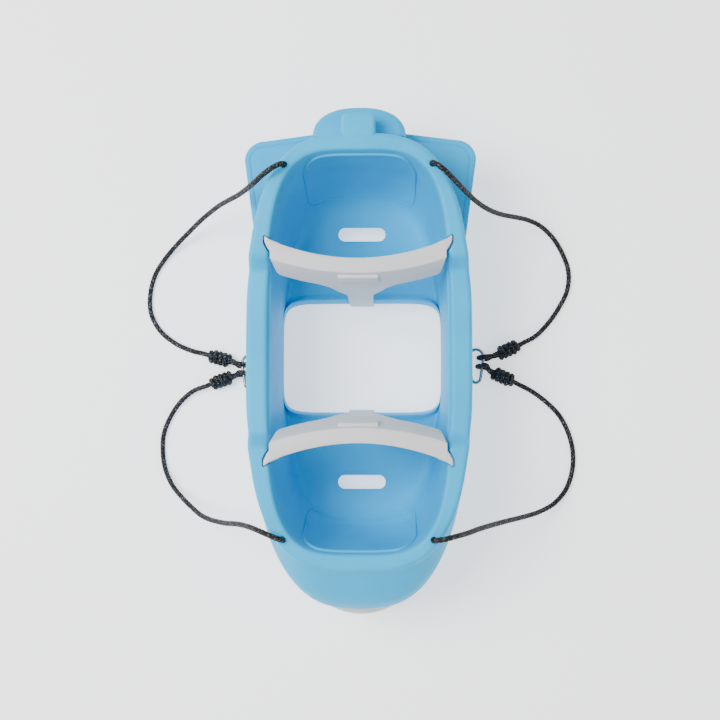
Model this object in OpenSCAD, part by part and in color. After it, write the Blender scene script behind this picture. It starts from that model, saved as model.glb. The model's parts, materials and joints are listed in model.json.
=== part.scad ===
// Two-seat toddler swing: a boat-shaped hull with two facing bucket seats, a leg opening between
// them, two lift-out T-bars, four ropes through the rim and a snap hook on each side.
// +X is the right side, +Y the stern, +Z up. The origin is on the ground, halfway along the hull.

/* [Hull] */
// Width over the side rails
hull_w = 386; // [330:1:470]
// Length of the seat rim, from its bow end to its stern end
rim_l = 754; // [700:1:910]
// Height of the rim around the seats
rim_h = 270; // [225:1:325]
// How far the side rails lie below the rim
rail_drop = 35; // [0:1:60]
// Width of the side rails
rail_w = 38; // [34:1:46]
// Width of the rim behind each seat
rim_end_w = 32; // [28:1:40]
// Wall thickness of the moulding
wall = 4; // [3:0.5:5]
// How far the bow runs out beyond the rim
bow_reach = 77; // [60:1:95]
// How far the hull side runs out beyond the rim at the stern
stern_reach = 14; // [10:1:20]

/* [Seats] */
// Height of the seat pans
pan_h = 45; // [36:1:55]
// Width of the leg opening
opening_w = 301; // [270:1:306]
// Length of the leg opening, fore and aft
opening_l = 209; // [160:1:250]
// Height of the leg opening's lower edge
lip_h = 25; // [18:1:30]
// Length of a drain slot
slot_l = 90; // [60:1:110]
// Width of a drain slot
slot_w = 26; // [16:1:31]
// Distance of a drain slot from the middle
slot_y = 236; // [228:1:255]

/* [Tail] */
// Span of the tail wings
wing_span = 422; // [415:1:440]
// Thickness of a tail wing
wing_t = 14; // [8:1:20]
// Height of the top of the tail wings
wing_h = 158; // [130:1:175]
// Where the tail wings start, from the middle
wing_start = 206; // [200:1:230]
// Radius of the tail wings' outer corners
wing_r = 36; // [15:1:40]
// Radius of the tail pod's curved wall
pod_r = 97; // [92:1:115]
// How far the tail pod stands out beyond the rim
pod_reach = 59; // [50:1:72]
// Width of the block that joins the rim and the pod
block_w = 57; // [40:1:70]

/* [Safety bars] */
// Distance of the crossbar's inner top edge from the middle, at its centre
bar_y = 132; // [126:1:136]
// Thickness of the crossbar, fore and aft
bar_t = 27; // [20:1:32]
// Depth of the crossbar
bar_depth = 50; // [35:1:60]
// How far the crossbar's front face slopes in
bar_slope = 20; // [10:1:24]
// How far the crossbar's ends curve away from the middle
bar_sweep = 25; // [15:1:35]
// Height of the bar above the rim
bar_proud = 5; // [2:1:8]
// How far the ears reach over the rim
ear_reach = 11; // [8:1:14]
// Depth of the pockets that hold the ears
pocket_depth = 12; // [8:1:14]
// Width of the stem
stem_w = 46; // [34:1:56]
// Thickness of the stem
stem_t = 14; // [10:1:18]
// Gap between a bar and the hull
bar_gap = 0.4; // [0.3:0.1:0.8]

/* [Nose cap] */
// Radius of the nose cap
nose_r = 64; // [50:1:68]
// How far the nose cap bulges
nose_bulge = 19; // [12:1:26]
// Height of the nose cap's centre
nose_h = 84; // [76:1:92]
// Distance between the nose cap's screws
nose_screw_gap = 60; // [40:1:70]
// Diameter of the nose cap's screws
nose_screw_d = 4; // [3:0.5:5]

/* [Ropes] */
// Diameter of the ropes
rope_d = 9; // [8:0.5:9.5]
// Diameter of the rope holes
rope_hole_d = 11; // [10:0.5:12.5]
// Distance from a rope hole's centre to the rim's outer edge
rope_inset = 13; // [11:0.5:16]
// Diameter of the barrel knots
barrel_d = 28; // [24:1:30]
// Diameter of the stopper knots under the rim
stopper_d = 12; // [11.5:0.1:12.5]

/* [Snap hooks] */
// Length of a snap hook
hook_l = 70; // [62:1:74]
// Width of a snap hook at its wide end
hook_w = 36; // [34:1:40]
// Diameter of a snap hook's wire
hook_wire = 6; // [5:0.5:6]
// Diameter of a gate's pin
gate_pin_d = 2; // [1.5:0.1:2.5]

/* [Hidden] */
$fn = 48;

blue = "#6fcaf5";
grey = "#d0d0d2";
black = "#17171a";
steel = "#b9bcc0";

rim_a = hull_w / 2;
rim_b = rim_l / 2;
well_a = rim_a - rail_w;
well_b = rim_b - rim_end_w;
rim_n = 3.1;
well_n = 3.9;
pan_drop = rim_h - pan_h;
bow_b = rim_b + bow_reach;
stern_b = rim_b + stern_reach;
open_a = opening_w / 2;
open_b = opening_l / 2;

// The rim steps down to the side rails between these two distances from the middle.
rail_end = 138;
rim_start = 168;

// --- outlines -----------------------------------------------------------------------------
// A point of a superellipse with half axes a and b and exponent n, at angle s.
function outline(s, a, b, n) =
    let (k = pow(pow(abs(cos(s)), n) + pow(abs(sin(s)), n), -1 / n))
    [a * cos(s) * k, b * sin(s) * k];
// Half width of a superellipse at the distance y from its middle.
function half_width(y, a, b, n) = a * pow(1 - pow(min(abs(y) / b, 1), n), 1 / n);
function smooth(x, lo, hi) = let (t = max(0, min(1, (x - lo) / (hi - lo)))) t * t * (3 - 2 * t);
function mix(a, b, t) = a + (b - a) * t;
// How much lower the moulding's top is at the distance y from the middle.
function drop_at(y) = rail_drop * (1 - smooth(abs(y), rail_end, rim_start));

// Rows of the moulding's visible skin, from the ground up the hull side, over the rim and down
// into the seats to the leg opening: height, half width, half length at the stern, half length
// at the bow, exponent, share of the rail drop, and the way to the hidden skin (out, up).
side_rows = [
    [0, rim_a - 26, stern_b - 36, bow_b - 56, 2.9, 0, -1, 0],
    [10, rim_a - 20, stern_b - 27, bow_b - 38, 2.9, 0, -1, 0],
    [55, rim_a - 11, stern_b - 11, bow_b - 13, 2.8, 0, -1, 0],
    [115, rim_a - 4, stern_b - 2, bow_b - 2, 2.75, 0.1, -1, 0],
    [160, rim_a - 1, stern_b, bow_b, 2.75, 0.3, -1, 0],
    [rim_h - 55, rim_a, stern_b - 4, bow_b - 24, 2.8, 0.7, -1, -0.5],
    [rim_h - 28, rim_a, stern_b - 9, rim_b + 20, 2.95, 0.9, -1, -0.5],
    [rim_h - 11, rim_a, rim_b, rim_b, rim_n, 1, -1, -0.5],
    [rim_h - 3, rim_a - 2.5, rim_b - 3, rim_b - 3, rim_n, 1, -0.7, -1],
    [rim_h, rim_a - 9, rim_b - 9, rim_b - 9, rim_n, 1, 0, -1],
    [rim_h, well_a + 8, well_b + 7, well_b + 7, well_n, 1, 0, -1],
    [rim_h - 3, well_a + 2, well_b + 2, well_b + 2, well_n, 1, 0.7, -1],
    [rim_h - 11, well_a, well_b, well_b, well_n, 1, 1, -0.5]];
// Rows of the wells: drop below the rim at a seat's back as a share of the pan's drop, half
// width, half length, exponent, and the way to the hidden skin behind the seat (out, up).
well_rows = [
    [0.35, well_a - 1, well_b - 5, 3.8, 1, 0],
    [0.65, well_a - 2, well_b - 14, 3.4, 1, 0],
    [0.85, well_a - 2.6, well_b - 28, 3.0, 1, -0.3],
    [0.95, well_a - 3.0, well_b - 42, 2.8, 0.7, -0.8],
    [0.99, well_a - 3.3, well_b - 66, 2.7, 0.2, -1],
    [1, well_a - 3.6, mix(well_b, open_b, 0.5), 3.2, 0, -1],
    [1, well_a - 3.9, open_b + 34, 5, 0, -1],
    [0.995, well_a - 4.2, open_b + 18, 6.5, 0.3, -1],
    [0.96, well_a - 4.4, open_b + 6, 7.3, 0.8, -0.7],
    [1 + (pan_h - lip_h) / pan_drop, open_a, open_b, 7.6, 1, 0]];
ring_n = 72;
row_n = len(side_rows) + len(well_rows);

// Point j of row i on the visible skin, or on the hidden one when inner is 1.
function side_point(i, j, inner) =
    let (r = side_rows[i],
         s = 360 * j / ring_n,
         b = sin(s) > 0 ? r[2] : r[3],
         p = outline(s, r[1], b, r[4]),
         q = outline(s, r[1] + inner * wall * r[6], b + inner * wall * r[6], r[4]))
    [q[0], q[1], r[0] - r[5] * drop_at(p[1]) + inner * wall * r[7]];
function well_point(i, j, inner) =
    let (r = well_rows[i],
         s = 360 * j / ring_n,
         p = outline(s, r[1], r[2], r[3]),
         end = smooth(abs(sin(s)), 0.34, 0.66),
         out = inner * wall * mix(1, r[4], end),
         q = outline(s, r[1] + out, r[2] + out, r[3]),
         last = len(well_rows),
         wall_h = mix(rim_h - drop_at(p[1]) - 11, lip_h, (i + 1) / last),
         seat_h = rim_h - pan_drop * r[0] - (i < 2 ? drop_at(p[1]) * (0.7 - 0.4 * i) : 0))
    [q[0], q[1], mix(wall_h, seat_h, end) + inner * wall * mix(0, r[5], end)];
function skin_point(i, j, inner) =
    i < len(side_rows) ? side_point(i, j, inner) : well_point(i - len(side_rows), j, inner);
// The closed loop of rows: the visible skin, then the hidden skin back to the start.
function loop_row(k) = k < row_n ? [k, 0] : [2 * row_n - 1 - k, 1];

// Faces of a grid of rows that closes along j, and along i too when it has no end caps.
function grid_faces(rows, cols, caps) = concat(
    [for (i = [0:rows - (caps ? 2 : 1)], j = [0:cols - 1], h = [0, 1])
        let (a = i * cols + j,
             b = i * cols + (j + 1) % cols,
             c = ((i + 1) % rows) * cols + (j + 1) % cols,
             d = ((i + 1) % rows) * cols + j)
        h == 0 ? [a, c, b] : [a, d, c]],
    caps ? [[for (j = [0:cols - 1]) j],
            [for (j = [cols - 1:-1:0]) (rows - 1) * cols + j]] : []);

module moulding() {
    polyhedron(
        points = [for (k = [0:2 * row_n - 1], j = [0:ring_n - 1])
            skin_point(loop_row(k)[0], j, loop_row(k)[1])],
        faces = grid_faces(2 * row_n, ring_n, false));
}

// --- places shared by the parts -----------------------------------------------------------
rope_at = 52;
function hole_place(mx, my) =
    let (p = outline(rope_at, rim_a, rim_b, rim_n), k = 1 - rope_inset / norm(p))
    [mx * p[0] * k, my * p[1] * k];

ear_front = bar_y + 38;
ear_tip = ear_front + 27;
ear_x = half_width(ear_tip, well_a, well_b, well_n) + ear_reach;
ear_floor = rim_h - pocket_depth;
pocket_lip = 3;
bar_end = half_width(ear_front, well_a, well_b, well_n) - 1.5;

nose_seat = bow_b + 1.5;
seat_back = 18;

// --- hull ---------------------------------------------------------------------------------
// Half of the tail's plan: from the hull side out to the wing's rounded corner and in again.
module tail_wing(mx) {
    tip = wing_span / 2;
    end_y = stern_b - 1;
    arc = [for (a = [0:15:90]) [tip - wing_r + wing_r * cos(a), end_y - wing_r + wing_r * sin(a)]];
    root = [for (s = [84:-6:30]) outline(s, rim_a - 5, stern_b - 6, 2.75)];
    translate([0, 0, wing_h - wing_t]) linear_extrude(wing_t) polygon(
        [for (p = concat([[rim_a - 4, wing_start]], arc,
                         [[85, stern_b + 11], [60, stern_b + 14]], root))
            [mx * p[0], p[1]]]);
}

pod_top = rim_h - 48;
pod_low = 66;
module tail_pod() {
    centre_y = rim_b + pod_reach - pod_r;
    half_chord = sqrt(pod_r * pod_r - pow(stern_b - 4 - centre_y, 2));
    difference() {
        translate([0, centre_y, 0]) rotate_extrude() polygon([
            [pod_r - 60, pod_low], [pod_r - 9, pod_low], [pod_r, pod_low + 14],
            [pod_r, pod_top - 16], [pod_r - 4, pod_top - 6], [pod_r - 12, pod_top],
            [pod_r - 60, pod_top + 8], [pod_r - 60, pod_top + 4], [pod_r - 13, pod_top - 4],
            [pod_r - 7, pod_top - 9], [pod_r - wall, pod_top - 17], [pod_r - wall, pod_low + 15],
            [pod_r - 11, pod_low + wall], [pod_r - 60, pod_low + wall]]);
        translate([-pod_r - 1, centre_y - pod_r - 1, 0])
            cube([2 * pod_r + 2, stern_b - 5.5 - centre_y + pod_r + 1, rim_h]);
    }
}

// The raised block that carries the rim's line out over the pod.
module rim_block() {
    top = rim_h + 2;
    back = rim_b + 30;
    front = rim_b - 10;
    translate([-block_w / 2, 0, 0]) rotate([90, 0, 90]) linear_extrude(block_w) polygon([
        [front, top - 3], [front + 3, top], [back - 6, top - 2], [back, top - 9],
        [back, pod_top - 1], [rim_b + 6, pod_top - 1], [rim_b - 2, rim_h - 14], [front, rim_h - 3]]);
}

// A block under the rim, which the pocket for one ear of a safety bar is cut into.
module ear_boss(mx, my) {
    x0 = half_width(ear_front, well_a, well_b, well_n) + 2;
    x1 = ear_x + pocket_lip + 2;
    translate([mx > 0 ? x0 : -x1, my > 0 ? ear_front - 5 : -ear_tip - 6, ear_floor - 6])
        cube([x1 - x0, ear_tip - ear_front + 11, pocket_depth + 2]);
}

// The pocket follows the ear with a little room, and more on its outer side.
module ear_pocket(mx, my) {
    lip = pocket_lip;
    translate([0, 0, ear_floor]) linear_extrude(pocket_depth + 10) polygon([for (p = [
        [bar_end - 20, ear_front - bar_gap], [bar_end + lip, ear_front - bar_gap],
        [ear_x - 6 + lip, ear_front + 4], [ear_x - 1 + lip, ear_front + 15],
        [ear_x + lip - 1, ear_tip], [ear_x - 1, ear_tip + 1.5], [bar_end, ear_tip - 4],
        [bar_end - 20, ear_tip - 10]]) [mx * p[0], my * p[1]]]);
}

module drain_slot(my) {
    translate([0, my * slot_y, pan_h - wall - 15]) linear_extrude(30) {
        square([slot_l - slot_w, slot_w], center = true);
        for (mx = [-1, 1]) translate([mx * (slot_l - slot_w) / 2, 0]) circle(d = slot_w);
    }
}

module hull() {
    color(blue) difference() {
        union() {
            moulding();
            for (mx = [-1, 1]) {
                tail_wing(mx);
                for (my = [-1, 1]) ear_boss(mx, my);
            }
            tail_pod();
            rim_block();
            translate([0, -nose_seat, nose_h]) rotate([-90, 0, 0])
                cylinder(r = nose_r + 2, h = seat_back);
        }
        for (my = [-1, 1]) {
            drain_slot(my);
            for (mx = [-1, 1]) {
                ear_pocket(mx, my);
                translate([hole_place(mx, my)[0], hole_place(mx, my)[1], rim_h - 20])
                    cylinder(d = rope_hole_d, h = 40);
            }
        }
        for (mx = [-1, 1])
            translate([mx * nose_screw_gap / 2, -nose_seat - 1, nose_h])
                rotate([-90, 0, 0]) cylinder(d = nose_screw_d + 0.6, h = 50);
    }
}

// --- nose cap -----------------------------------------------------------------------------
dome_r = (nose_r * nose_r + nose_bulge * nose_bulge) / (2 * nose_bulge);
function dome(r) = sqrt(dome_r * dome_r - r * r) - dome_r + nose_bulge;
post_d = nose_screw_d + 8;
post_h = dome(nose_screw_gap / 2) - 2;
module nose_cap() {
    color(grey) translate([0, -nose_seat, nose_h]) rotate([90, 0, 0]) difference() {
        union() {
            rotate_extrude() polygon(concat(
                [for (i = [0:8]) let (r = nose_r * i / 8) [r, dome(r)]],
                [for (i = [8:-1:0]) let (r = (nose_r - 3.5) * i / 8)
                    [r, max(0, dome(nose_r * i / 8) - 3.5 * (1 - pow(i / 8, 8)))]]));
            for (mx = [-1, 1]) translate([mx * nose_screw_gap / 2, 0, 0])
                cylinder(d = post_d, h = post_h);
        }
        for (mx = [-1, 1]) translate([mx * nose_screw_gap / 2, 0, -1])
            cylinder(d = nose_screw_d, h = post_h - 1);
    }
}

// The screws' heads bear on the flat back of the hull's seat for the cap.
module nose_cap_screws() {
    head_h = 3;
    color(steel) for (mx = [-1, 1])
        translate([mx * nose_screw_gap / 2, -nose_seat + seat_back, nose_h]) rotate([90, 0, 0]) {
            translate([0, 0, -head_h]) cylinder(d = 2 * nose_screw_d, h = head_h);
            cylinder(d = nose_screw_d - 0.2, h = seat_back + post_h - 3);
        }
}

// --- safety bars --------------------------------------------------------------------------
bar_top = rim_h + bar_proud;
bar_low = bar_top - bar_depth;
stem_front = open_b - 5;
lip_top = rim_h - 0.96 * pan_drop;
// One section of the crossbar at x: its top and bottom edges, rear and front.
function bar_section(x) =
    let (u = abs(x) / bar_end,
         front = bar_y + bar_sweep * u * u,
         rear = bar_y + bar_t + (bar_sweep + 6) * u * u,
         in = 8 * u * u)
    [[x, rear, bar_top - 2], [x, rear - 2, bar_top], [x, front + 2, bar_top],
     [x, front, bar_top - 2],
     [x * (1 - in / bar_end), front - bar_slope, bar_low + 3],
     [x * (1 - in / bar_end), front - bar_slope + 3, bar_low],
     [x * (1 - in / bar_end), rear - bar_slope - 4, bar_low],
     [x * (1 - in / bar_end), rear - bar_slope, bar_low + 3]];
bar_steps = 16;

// The stem at the height z: its half width, which widens over two fillets into the crossbar, and
// its front face, which leans in from under the crossbar to the leg opening's edge.
stem_fillet = 24;
function stem_half(z) =
    let (v = max(0, min(1, (z - bar_low - 4) / stem_fillet + 1)))
    stem_w / 2 + stem_fillet * (1 - sqrt(1 - v * v));
function stem_face(z) =
    let (under = bar_y - bar_slope + 1)
    z > bar_low ? under + (z - bar_low) * bar_slope / bar_depth :
    mix(stem_front, under, max(0, (z - lip_top - 10) / (bar_low - lip_top - 10)));
stem_rows = concat([lip_h - 9, lip_top + 10],
                   [for (h = [24, 18, 12, 7, 3, 0, -2, -4, -12]) bar_low - h + 4]);

// A bar for the seat at the stern; the bow's is its mirror image.
module t_bar() {
    color(grey) {
        polyhedron(
            points = [for (i = [0:bar_steps]) each bar_section(bar_end * (2 * i / bar_steps - 1))],
            faces = grid_faces(bar_steps + 1, 8, true));
        for (mx = [-1, 1]) translate([0, 0, ear_floor]) linear_extrude(bar_top - ear_floor)
            polygon([for (p = [
                [bar_end - 16, ear_front], [bar_end, ear_front], [ear_x - 6, ear_front + 6],
                [ear_x - 1, ear_front + 16], [ear_x, ear_tip - 3], [ear_x - 1.5, ear_tip],
                [bar_end, ear_tip - 6.5], [bar_end - 16, ear_tip - 13]]) [mx * p[0], p[1]]]);
        difference() {
            polyhedron(
                points = [for (z = stem_rows)
                    let (h = stem_half(z), f = stem_face(z))
                    each [[-h, f, z], [h, f, z], [h, f + stem_t, z], [-h, f + stem_t, z]]],
                faces = grid_faces(len(stem_rows), 4, true));
            // The foot rests over the seat's front lip, and a plate in front of the lip goes on down.
            translate([-stem_w, 0, 0]) rotate([90, 0, 90]) linear_extrude(2 * stem_w) polygon([
                [open_b - bar_gap - 0.3, 0], [open_b - bar_gap - 0.3, lip_h],
                [open_b + 5.3, lip_top + bar_gap], [open_b + 7, lip_top + bar_gap],
                [open_b + 20, lip_top - 6], [open_b + 20, 0]]);
        }
        // The raised grip pad in the middle of the front face.
        translate([-35, bar_y - 9, bar_top - 20]) cube([70, 9, 8]);
    }
}

// --- ropes --------------------------------------------------------------------------------
// Each route starts under the rim, leaves its hole upwards, drops over the hull's side to the
// ground and lies in an open curve up to its barrel knot.
route_stern_left = [[-128, 321, 264], [-128, 321, 275], [-132, 319, 284], [-142, 313, 290],
    [-159, 303, 285], [-182, 291, 258], [-201, 286, 224], [-220, 283, 190], [-241, 281, 157],
    [-262, 278, 125], [-284, 271, 94], [-308, 260, 65], [-332, 245, 39], [-358, 225, 20],
    [-384, 199, 8], [-405, 167, 5], [-415, 130, 5], [-414, 91, 5], [-397, 57, 5], [-368, 32, 7],
    [-334, 16, 11], [-306, 9, 14]];
route_bow_left = [[-128, -321, 264], [-128, -321, 275], [-132, -319, 284], [-143, -314, 290],
    [-161, -307, 285], [-185, -301, 259], [-203, -300, 229], [-221, -301, 198], [-240, -303, 168],
    [-259, -303, 138], [-280, -301, 109], [-301, -295, 82], [-322, -283, 56], [-344, -267, 34],
    [-366, -245, 17], [-382, -215, 7], [-388, -180, 5], [-386, -145, 5], [-373, -112, 5],
    [-353, -83, 7], [-327, -62, 11], [-302, -53, 14]];
route_stern_right = [[128, 321, 264], [128, 321, 275], [131, 318, 284], [139, 312, 290],
    [153, 301, 285], [173, 287, 259], [190, 278, 227], [207, 270, 195], [226, 264, 164],
    [246, 261, 133], [267, 261, 103], [291, 262, 75], [317, 261, 49], [343, 253, 28],
    [369, 232, 12], [388, 202, 5], [399, 167, 5], [396, 131, 5], [380, 98, 5], [359, 68, 7],
    [333, 42, 11], [309, 29, 14]];
route_bow_right = [[128, -321, 264], [128, -321, 275], [132, -320, 284], [143, -318, 290],
    [161, -314, 285], [186, -310, 259], [205, -307, 226], [224, -305, 193], [244, -303, 161],
    [265, -301, 130], [287, -299, 100], [311, -296, 71], [337, -290, 45], [365, -277, 24],
    [389, -252, 10], [402, -218, 5], [404, -181, 5], [396, -145, 5], [379, -111, 5],
    [353, -84, 7], [324, -63, 11], [299, -50, 14]];

function unit(v) = v / norm(v);
// Directions along a route, and side vectors that turn as little as the route allows.
function tangents(p) = [for (i = [0:len(p) - 1])
    unit(i == 0 ? p[1] - p[0] : i == len(p) - 1 ? p[i] - p[i - 1] :
         unit(p[i + 1] - p[i]) + unit(p[i] - p[i - 1]))];
function flat_to(v, t) = unit(v - t * (v * t));
function sides(t, i, v) = i == len(t) ? [] :
    let (w = flat_to(v, t[i])) concat([w], sides(t, i + 1, w));
module tube(route, d, n = 8) {
    t = tangents(route);
    s = sides(t, 0, abs(t[0][2]) > 0.9 ? [1, 0, 0] : [0, 0, 1]);
    polyhedron(
        points = [for (i = [0:len(route) - 1], j = [0:n - 1])
            let (a = 360 * (j + 0.5) / n)
            route[i] + d / 2 * (cos(a) * s[i] + sin(a) * cross(t[i], s[i]))],
        faces = grid_faces(len(route), n, true));
}

// A rope's last short piece runs along its knot's axis.
module rope(route, knot) {
    color(black) tube(concat(route, [knot[0] - 5 * unit(knot[1] - knot[0]), knot[0]]), rope_d);
}

stopper_l = 22;
// Under its hole, a stopper knot hangs just inside the hull's side.
module stopper_knot(mx, my) {
    r = stopper_d / 2;
    color(black) translate([hole_place(mx, my)[0], hole_place(mx, my)[1], 264])
        rotate_extrude() polygon([[0, 0], [rope_d / 2, 0], [r - 2, -2], [r, -5], [r - 1.5, -8],
            [r, -11], [r - 1.5, -14], [r, -17], [r - 2, -stopper_l + 1], [0, -stopper_l]]);
}

wraps = 4;
// A barrel knot of side by side wraps, between two points, touching the route's end.
module barrel_knot(knot) {
    a = knot[0];
    b = knot[1];
    r = barrel_d / 2;
    l = norm(b - a);
    pitch = l / wraps;
    color(black) translate(a) rotate([0, 90, atan2(b[1] - a[1], b[0] - a[0])]) rotate_extrude()
        polygon(concat([[0, 0]], [for (i = [0:wraps - 1], k = [0:4])
            [r - 2.2 * pow(abs(k - 2) / 2, 2), pitch * (i + k / 4)]], [[0, l]]));
}

// The stern and bow knots on one side: start at the route's end, finish at the eye.
knot_stern_left = [[-296, 6, 14], [-257, -5, 14]];
knot_bow_left = [[-292, -49, 14], [-254, -36, 14]];
knot_stern_right = [[299, 24, 14], [262, 8, 14]];
knot_bow_right = [[289, -45, 14], [252, -28, 14]];

// An eye is a doubled rope: out over the hook's wire, down inside the hook and back under it.
eye_spread = 4.6;
function eye_route(knot, mx, y_wire) =
    let (k = knot[1],
         d = unit(k - knot[0]),
         n = [-d[1], d[0], 0] * mx * 1.5,
         up = [0, 0, eye_spread],
         w = spine_x(mx, y_wire),
         top = spine_z + hook_wire / 2 + rope_d / 2 + 0.4)
    [k + d * 0.1 + n + up, k + d * 6 + n + up, [w + mx * 7, y_wire + 2, top + 0.4],
     [w - mx * 1, y_wire + 1, top], [w - mx * 6.5, y_wire + 0.5, top - 3],
     [w - mx * 9, y_wire, top - 7.5], [w - mx * 6.5, y_wire - 0.5, 7.2],
     [w - mx * 1, y_wire - 1, rope_d / 2], [w + mx * 7, y_wire - 2, rope_d / 2],
     k + d * 6 - n - up, k + d * 0.1 - n - up];

module rope_eye(knot, mx, y_wire) {
    color(black) tube(eye_route(knot, mx, y_wire), rope_d);
}

// --- snap hooks ---------------------------------------------------------------------------
// A hook lies with its spine on the lower rope strands and its gate side on the ground.
hook_y_right = 20;
hook_y_left = 9;
hook_centre_x = 219;
wide_r = (hook_w - hook_wire) / 2;
narrow_r = 9;
hook_turn = 8;
spine_z = rope_d + hook_wire / 2 + 1.5;
hook_tilt = asin((spine_z - hook_wire / 2) / (2 * wide_r));
function centre_y(mx) = (mx > 0 ? hook_y_right : hook_y_left) - hook_wire / 2 - wide_r;
arc_gap = hook_l - hook_wire - wide_r - narrow_r;
// Angle by which the hook's straight sides lean in from the wide end to the narrow end.
lean = asin((wide_r - narrow_r) / arc_gap);
side_l = arc_gap * cos(lean);
// Where the hook's spine lies at the distance y from the middle.
function spine_x(mx, y) =
    let (v = centre_y(mx) - y, r = wide_r, low = v - r * sin(lean))
    mx * (hook_centre_x + cos(hook_tilt) * (low > 0 ? r * cos(lean) - low * tan(lean)
                                                    : sqrt(r * r - v * v)));
gate_w = 5;
gate_slot = 1.6;
gate_a = 0.08;
gate_b = 0.72;

// The hook's own frame: the wide end's centre at the origin, the narrow end along -Y, the
// spine on the side away from the hull and the gate next to it.
module place_hook(mx) {
    translate([mx * hook_centre_x, centre_y(mx), hook_wire / 2 + wide_r * sin(hook_tilt)])
        rotate([0, -mx * hook_tilt, 0]) children();
}
// A point of the gate side at the distance l from the wide end's tangent point.
function gate_side(l) =
    [-wide_r * cos(lean) + l * sin(lean), -wide_r * sin(lean) - l * cos(lean), 0];
hinge_l = side_l * gate_b + 3;
nose_l = side_l * gate_a;
hook_path = concat(
    [gate_side(nose_l), gate_side(nose_l / 2)],
    [for (a = [180 + lean:-15:-lean]) wide_r * [cos(a), sin(a), 0]],
    [for (a = [-lean:-24:-180 + lean]) [0, -arc_gap, 0] + narrow_r * [cos(a), sin(a), 0]],
    [gate_side(side_l), gate_side(hinge_l - 3)]);

module snap_hook(mx) {
    color(steel) place_hook(mx) difference() {
        tube([for (p = hook_path) [mx * p[0], p[1], p[2]]], hook_wire, 12);
        // A flat tongue is left for the gate's fork, with the pin's bore through it.
        translate([mx * gate_side(hinge_l)[0], gate_side(hinge_l)[1], 0]) rotate([0, 0, mx * lean]) {
            for (mz = [-1, 1]) translate([-4, -3.6, mz > 0 ? gate_slot / 2 : -gate_slot / 2 - 4])
                cube([8, 8, 4]);
            cylinder(d = gate_pin_d + 0.1, h = 20, center = true);
        }
    }
}

// The gate: a rod whose forked foot straddles the hook's tongue.
module gate(mx) {
    color(steel) place_hook(mx)
        translate([mx * gate_side(hinge_l)[0], gate_side(hinge_l)[1], 0]) rotate([0, 0, mx * lean])
        difference() {
            union() {
                translate([0, 2, 0]) rotate([-90, 0, 0])
                    cylinder(d = gate_w - 0.6, h = hinge_l - nose_l - 0.5 - 2);
                cylinder(d = gate_w, h = gate_w, center = true);
            }
            translate([-4, -4, -gate_slot / 2 - 0.2]) cube([8, 8, gate_slot + 0.4]);
            cylinder(d = gate_pin_d + 0.1, h = 20, center = true);
        }
}
module gate_pin(mx) {
    color(steel) place_hook(mx)
        translate([mx * gate_side(hinge_l)[0], gate_side(hinge_l)[1], 0])
        cylinder(d = gate_pin_d, h = gate_w + 0.4, center = true);
}

// The parts are drawn from the middle of the leg opening, which lies a little nearer the stern
// than the middle of the whole length, where the origin is.
middle_y = (nose_seat + nose_bulge - rim_b - pod_reach) / 2;
module placed() {
    translate([0, middle_y, 0]) children();
}

placed() hull();
placed() nose_cap();
placed() nose_cap_screws();
placed() t_bar();  // t_bar_stern
placed() mirror([0, 1, 0]) t_bar();  // t_bar_bow
placed() rope(route_stern_left, knot_stern_left);  // rope_stern_left
placed() rope(route_stern_right, knot_stern_right);  // rope_stern_right
placed() rope(route_bow_left, knot_bow_left);  // rope_bow_left
placed() rope(route_bow_right, knot_bow_right);  // rope_bow_right
placed() stopper_knot(-1, 1);  // stopper_knot_stern_left
placed() stopper_knot(1, 1);  // stopper_knot_stern_right
placed() stopper_knot(-1, -1);  // stopper_knot_bow_left
placed() stopper_knot(1, -1);  // stopper_knot_bow_right
placed() barrel_knot(knot_stern_left);  // barrel_knot_stern_left
placed() barrel_knot(knot_stern_right);  // barrel_knot_stern_right
placed() barrel_knot(knot_bow_left);  // barrel_knot_bow_left
placed() barrel_knot(knot_bow_right);  // barrel_knot_bow_right
placed() rope_eye(knot_stern_left, -1, -12);  // rope_eye_stern_left
placed() rope_eye(knot_stern_right, 1, 1);  // rope_eye_stern_right
placed() rope_eye(knot_bow_left, -1, -29);  // rope_eye_bow_left
placed() rope_eye(knot_bow_right, 1, -16);  // rope_eye_bow_right
placed() snap_hook(-1);  // snap_hook_left
placed() snap_hook(1);  // snap_hook_right
placed() gate(-1);  // gate_left
placed() gate(1);  // gate_right
placed() gate_pin(-1);  // gate_pin_left
placed() gate_pin(1);  // gate_pin_right
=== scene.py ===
"""A two-seat toddler swing, dressed over its CAD frame.

Lengths are in millimetres in the classes and in metres in the finished meshes. The hull's
formulas run from the middle of the leg opening, which lies ``MIDDLE_Y`` nearer the stern than
the origin.
"""

import json
import logging
import math
from dataclasses import dataclass, field
from enum import Enum
from typing import Callable, Sequence

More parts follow.
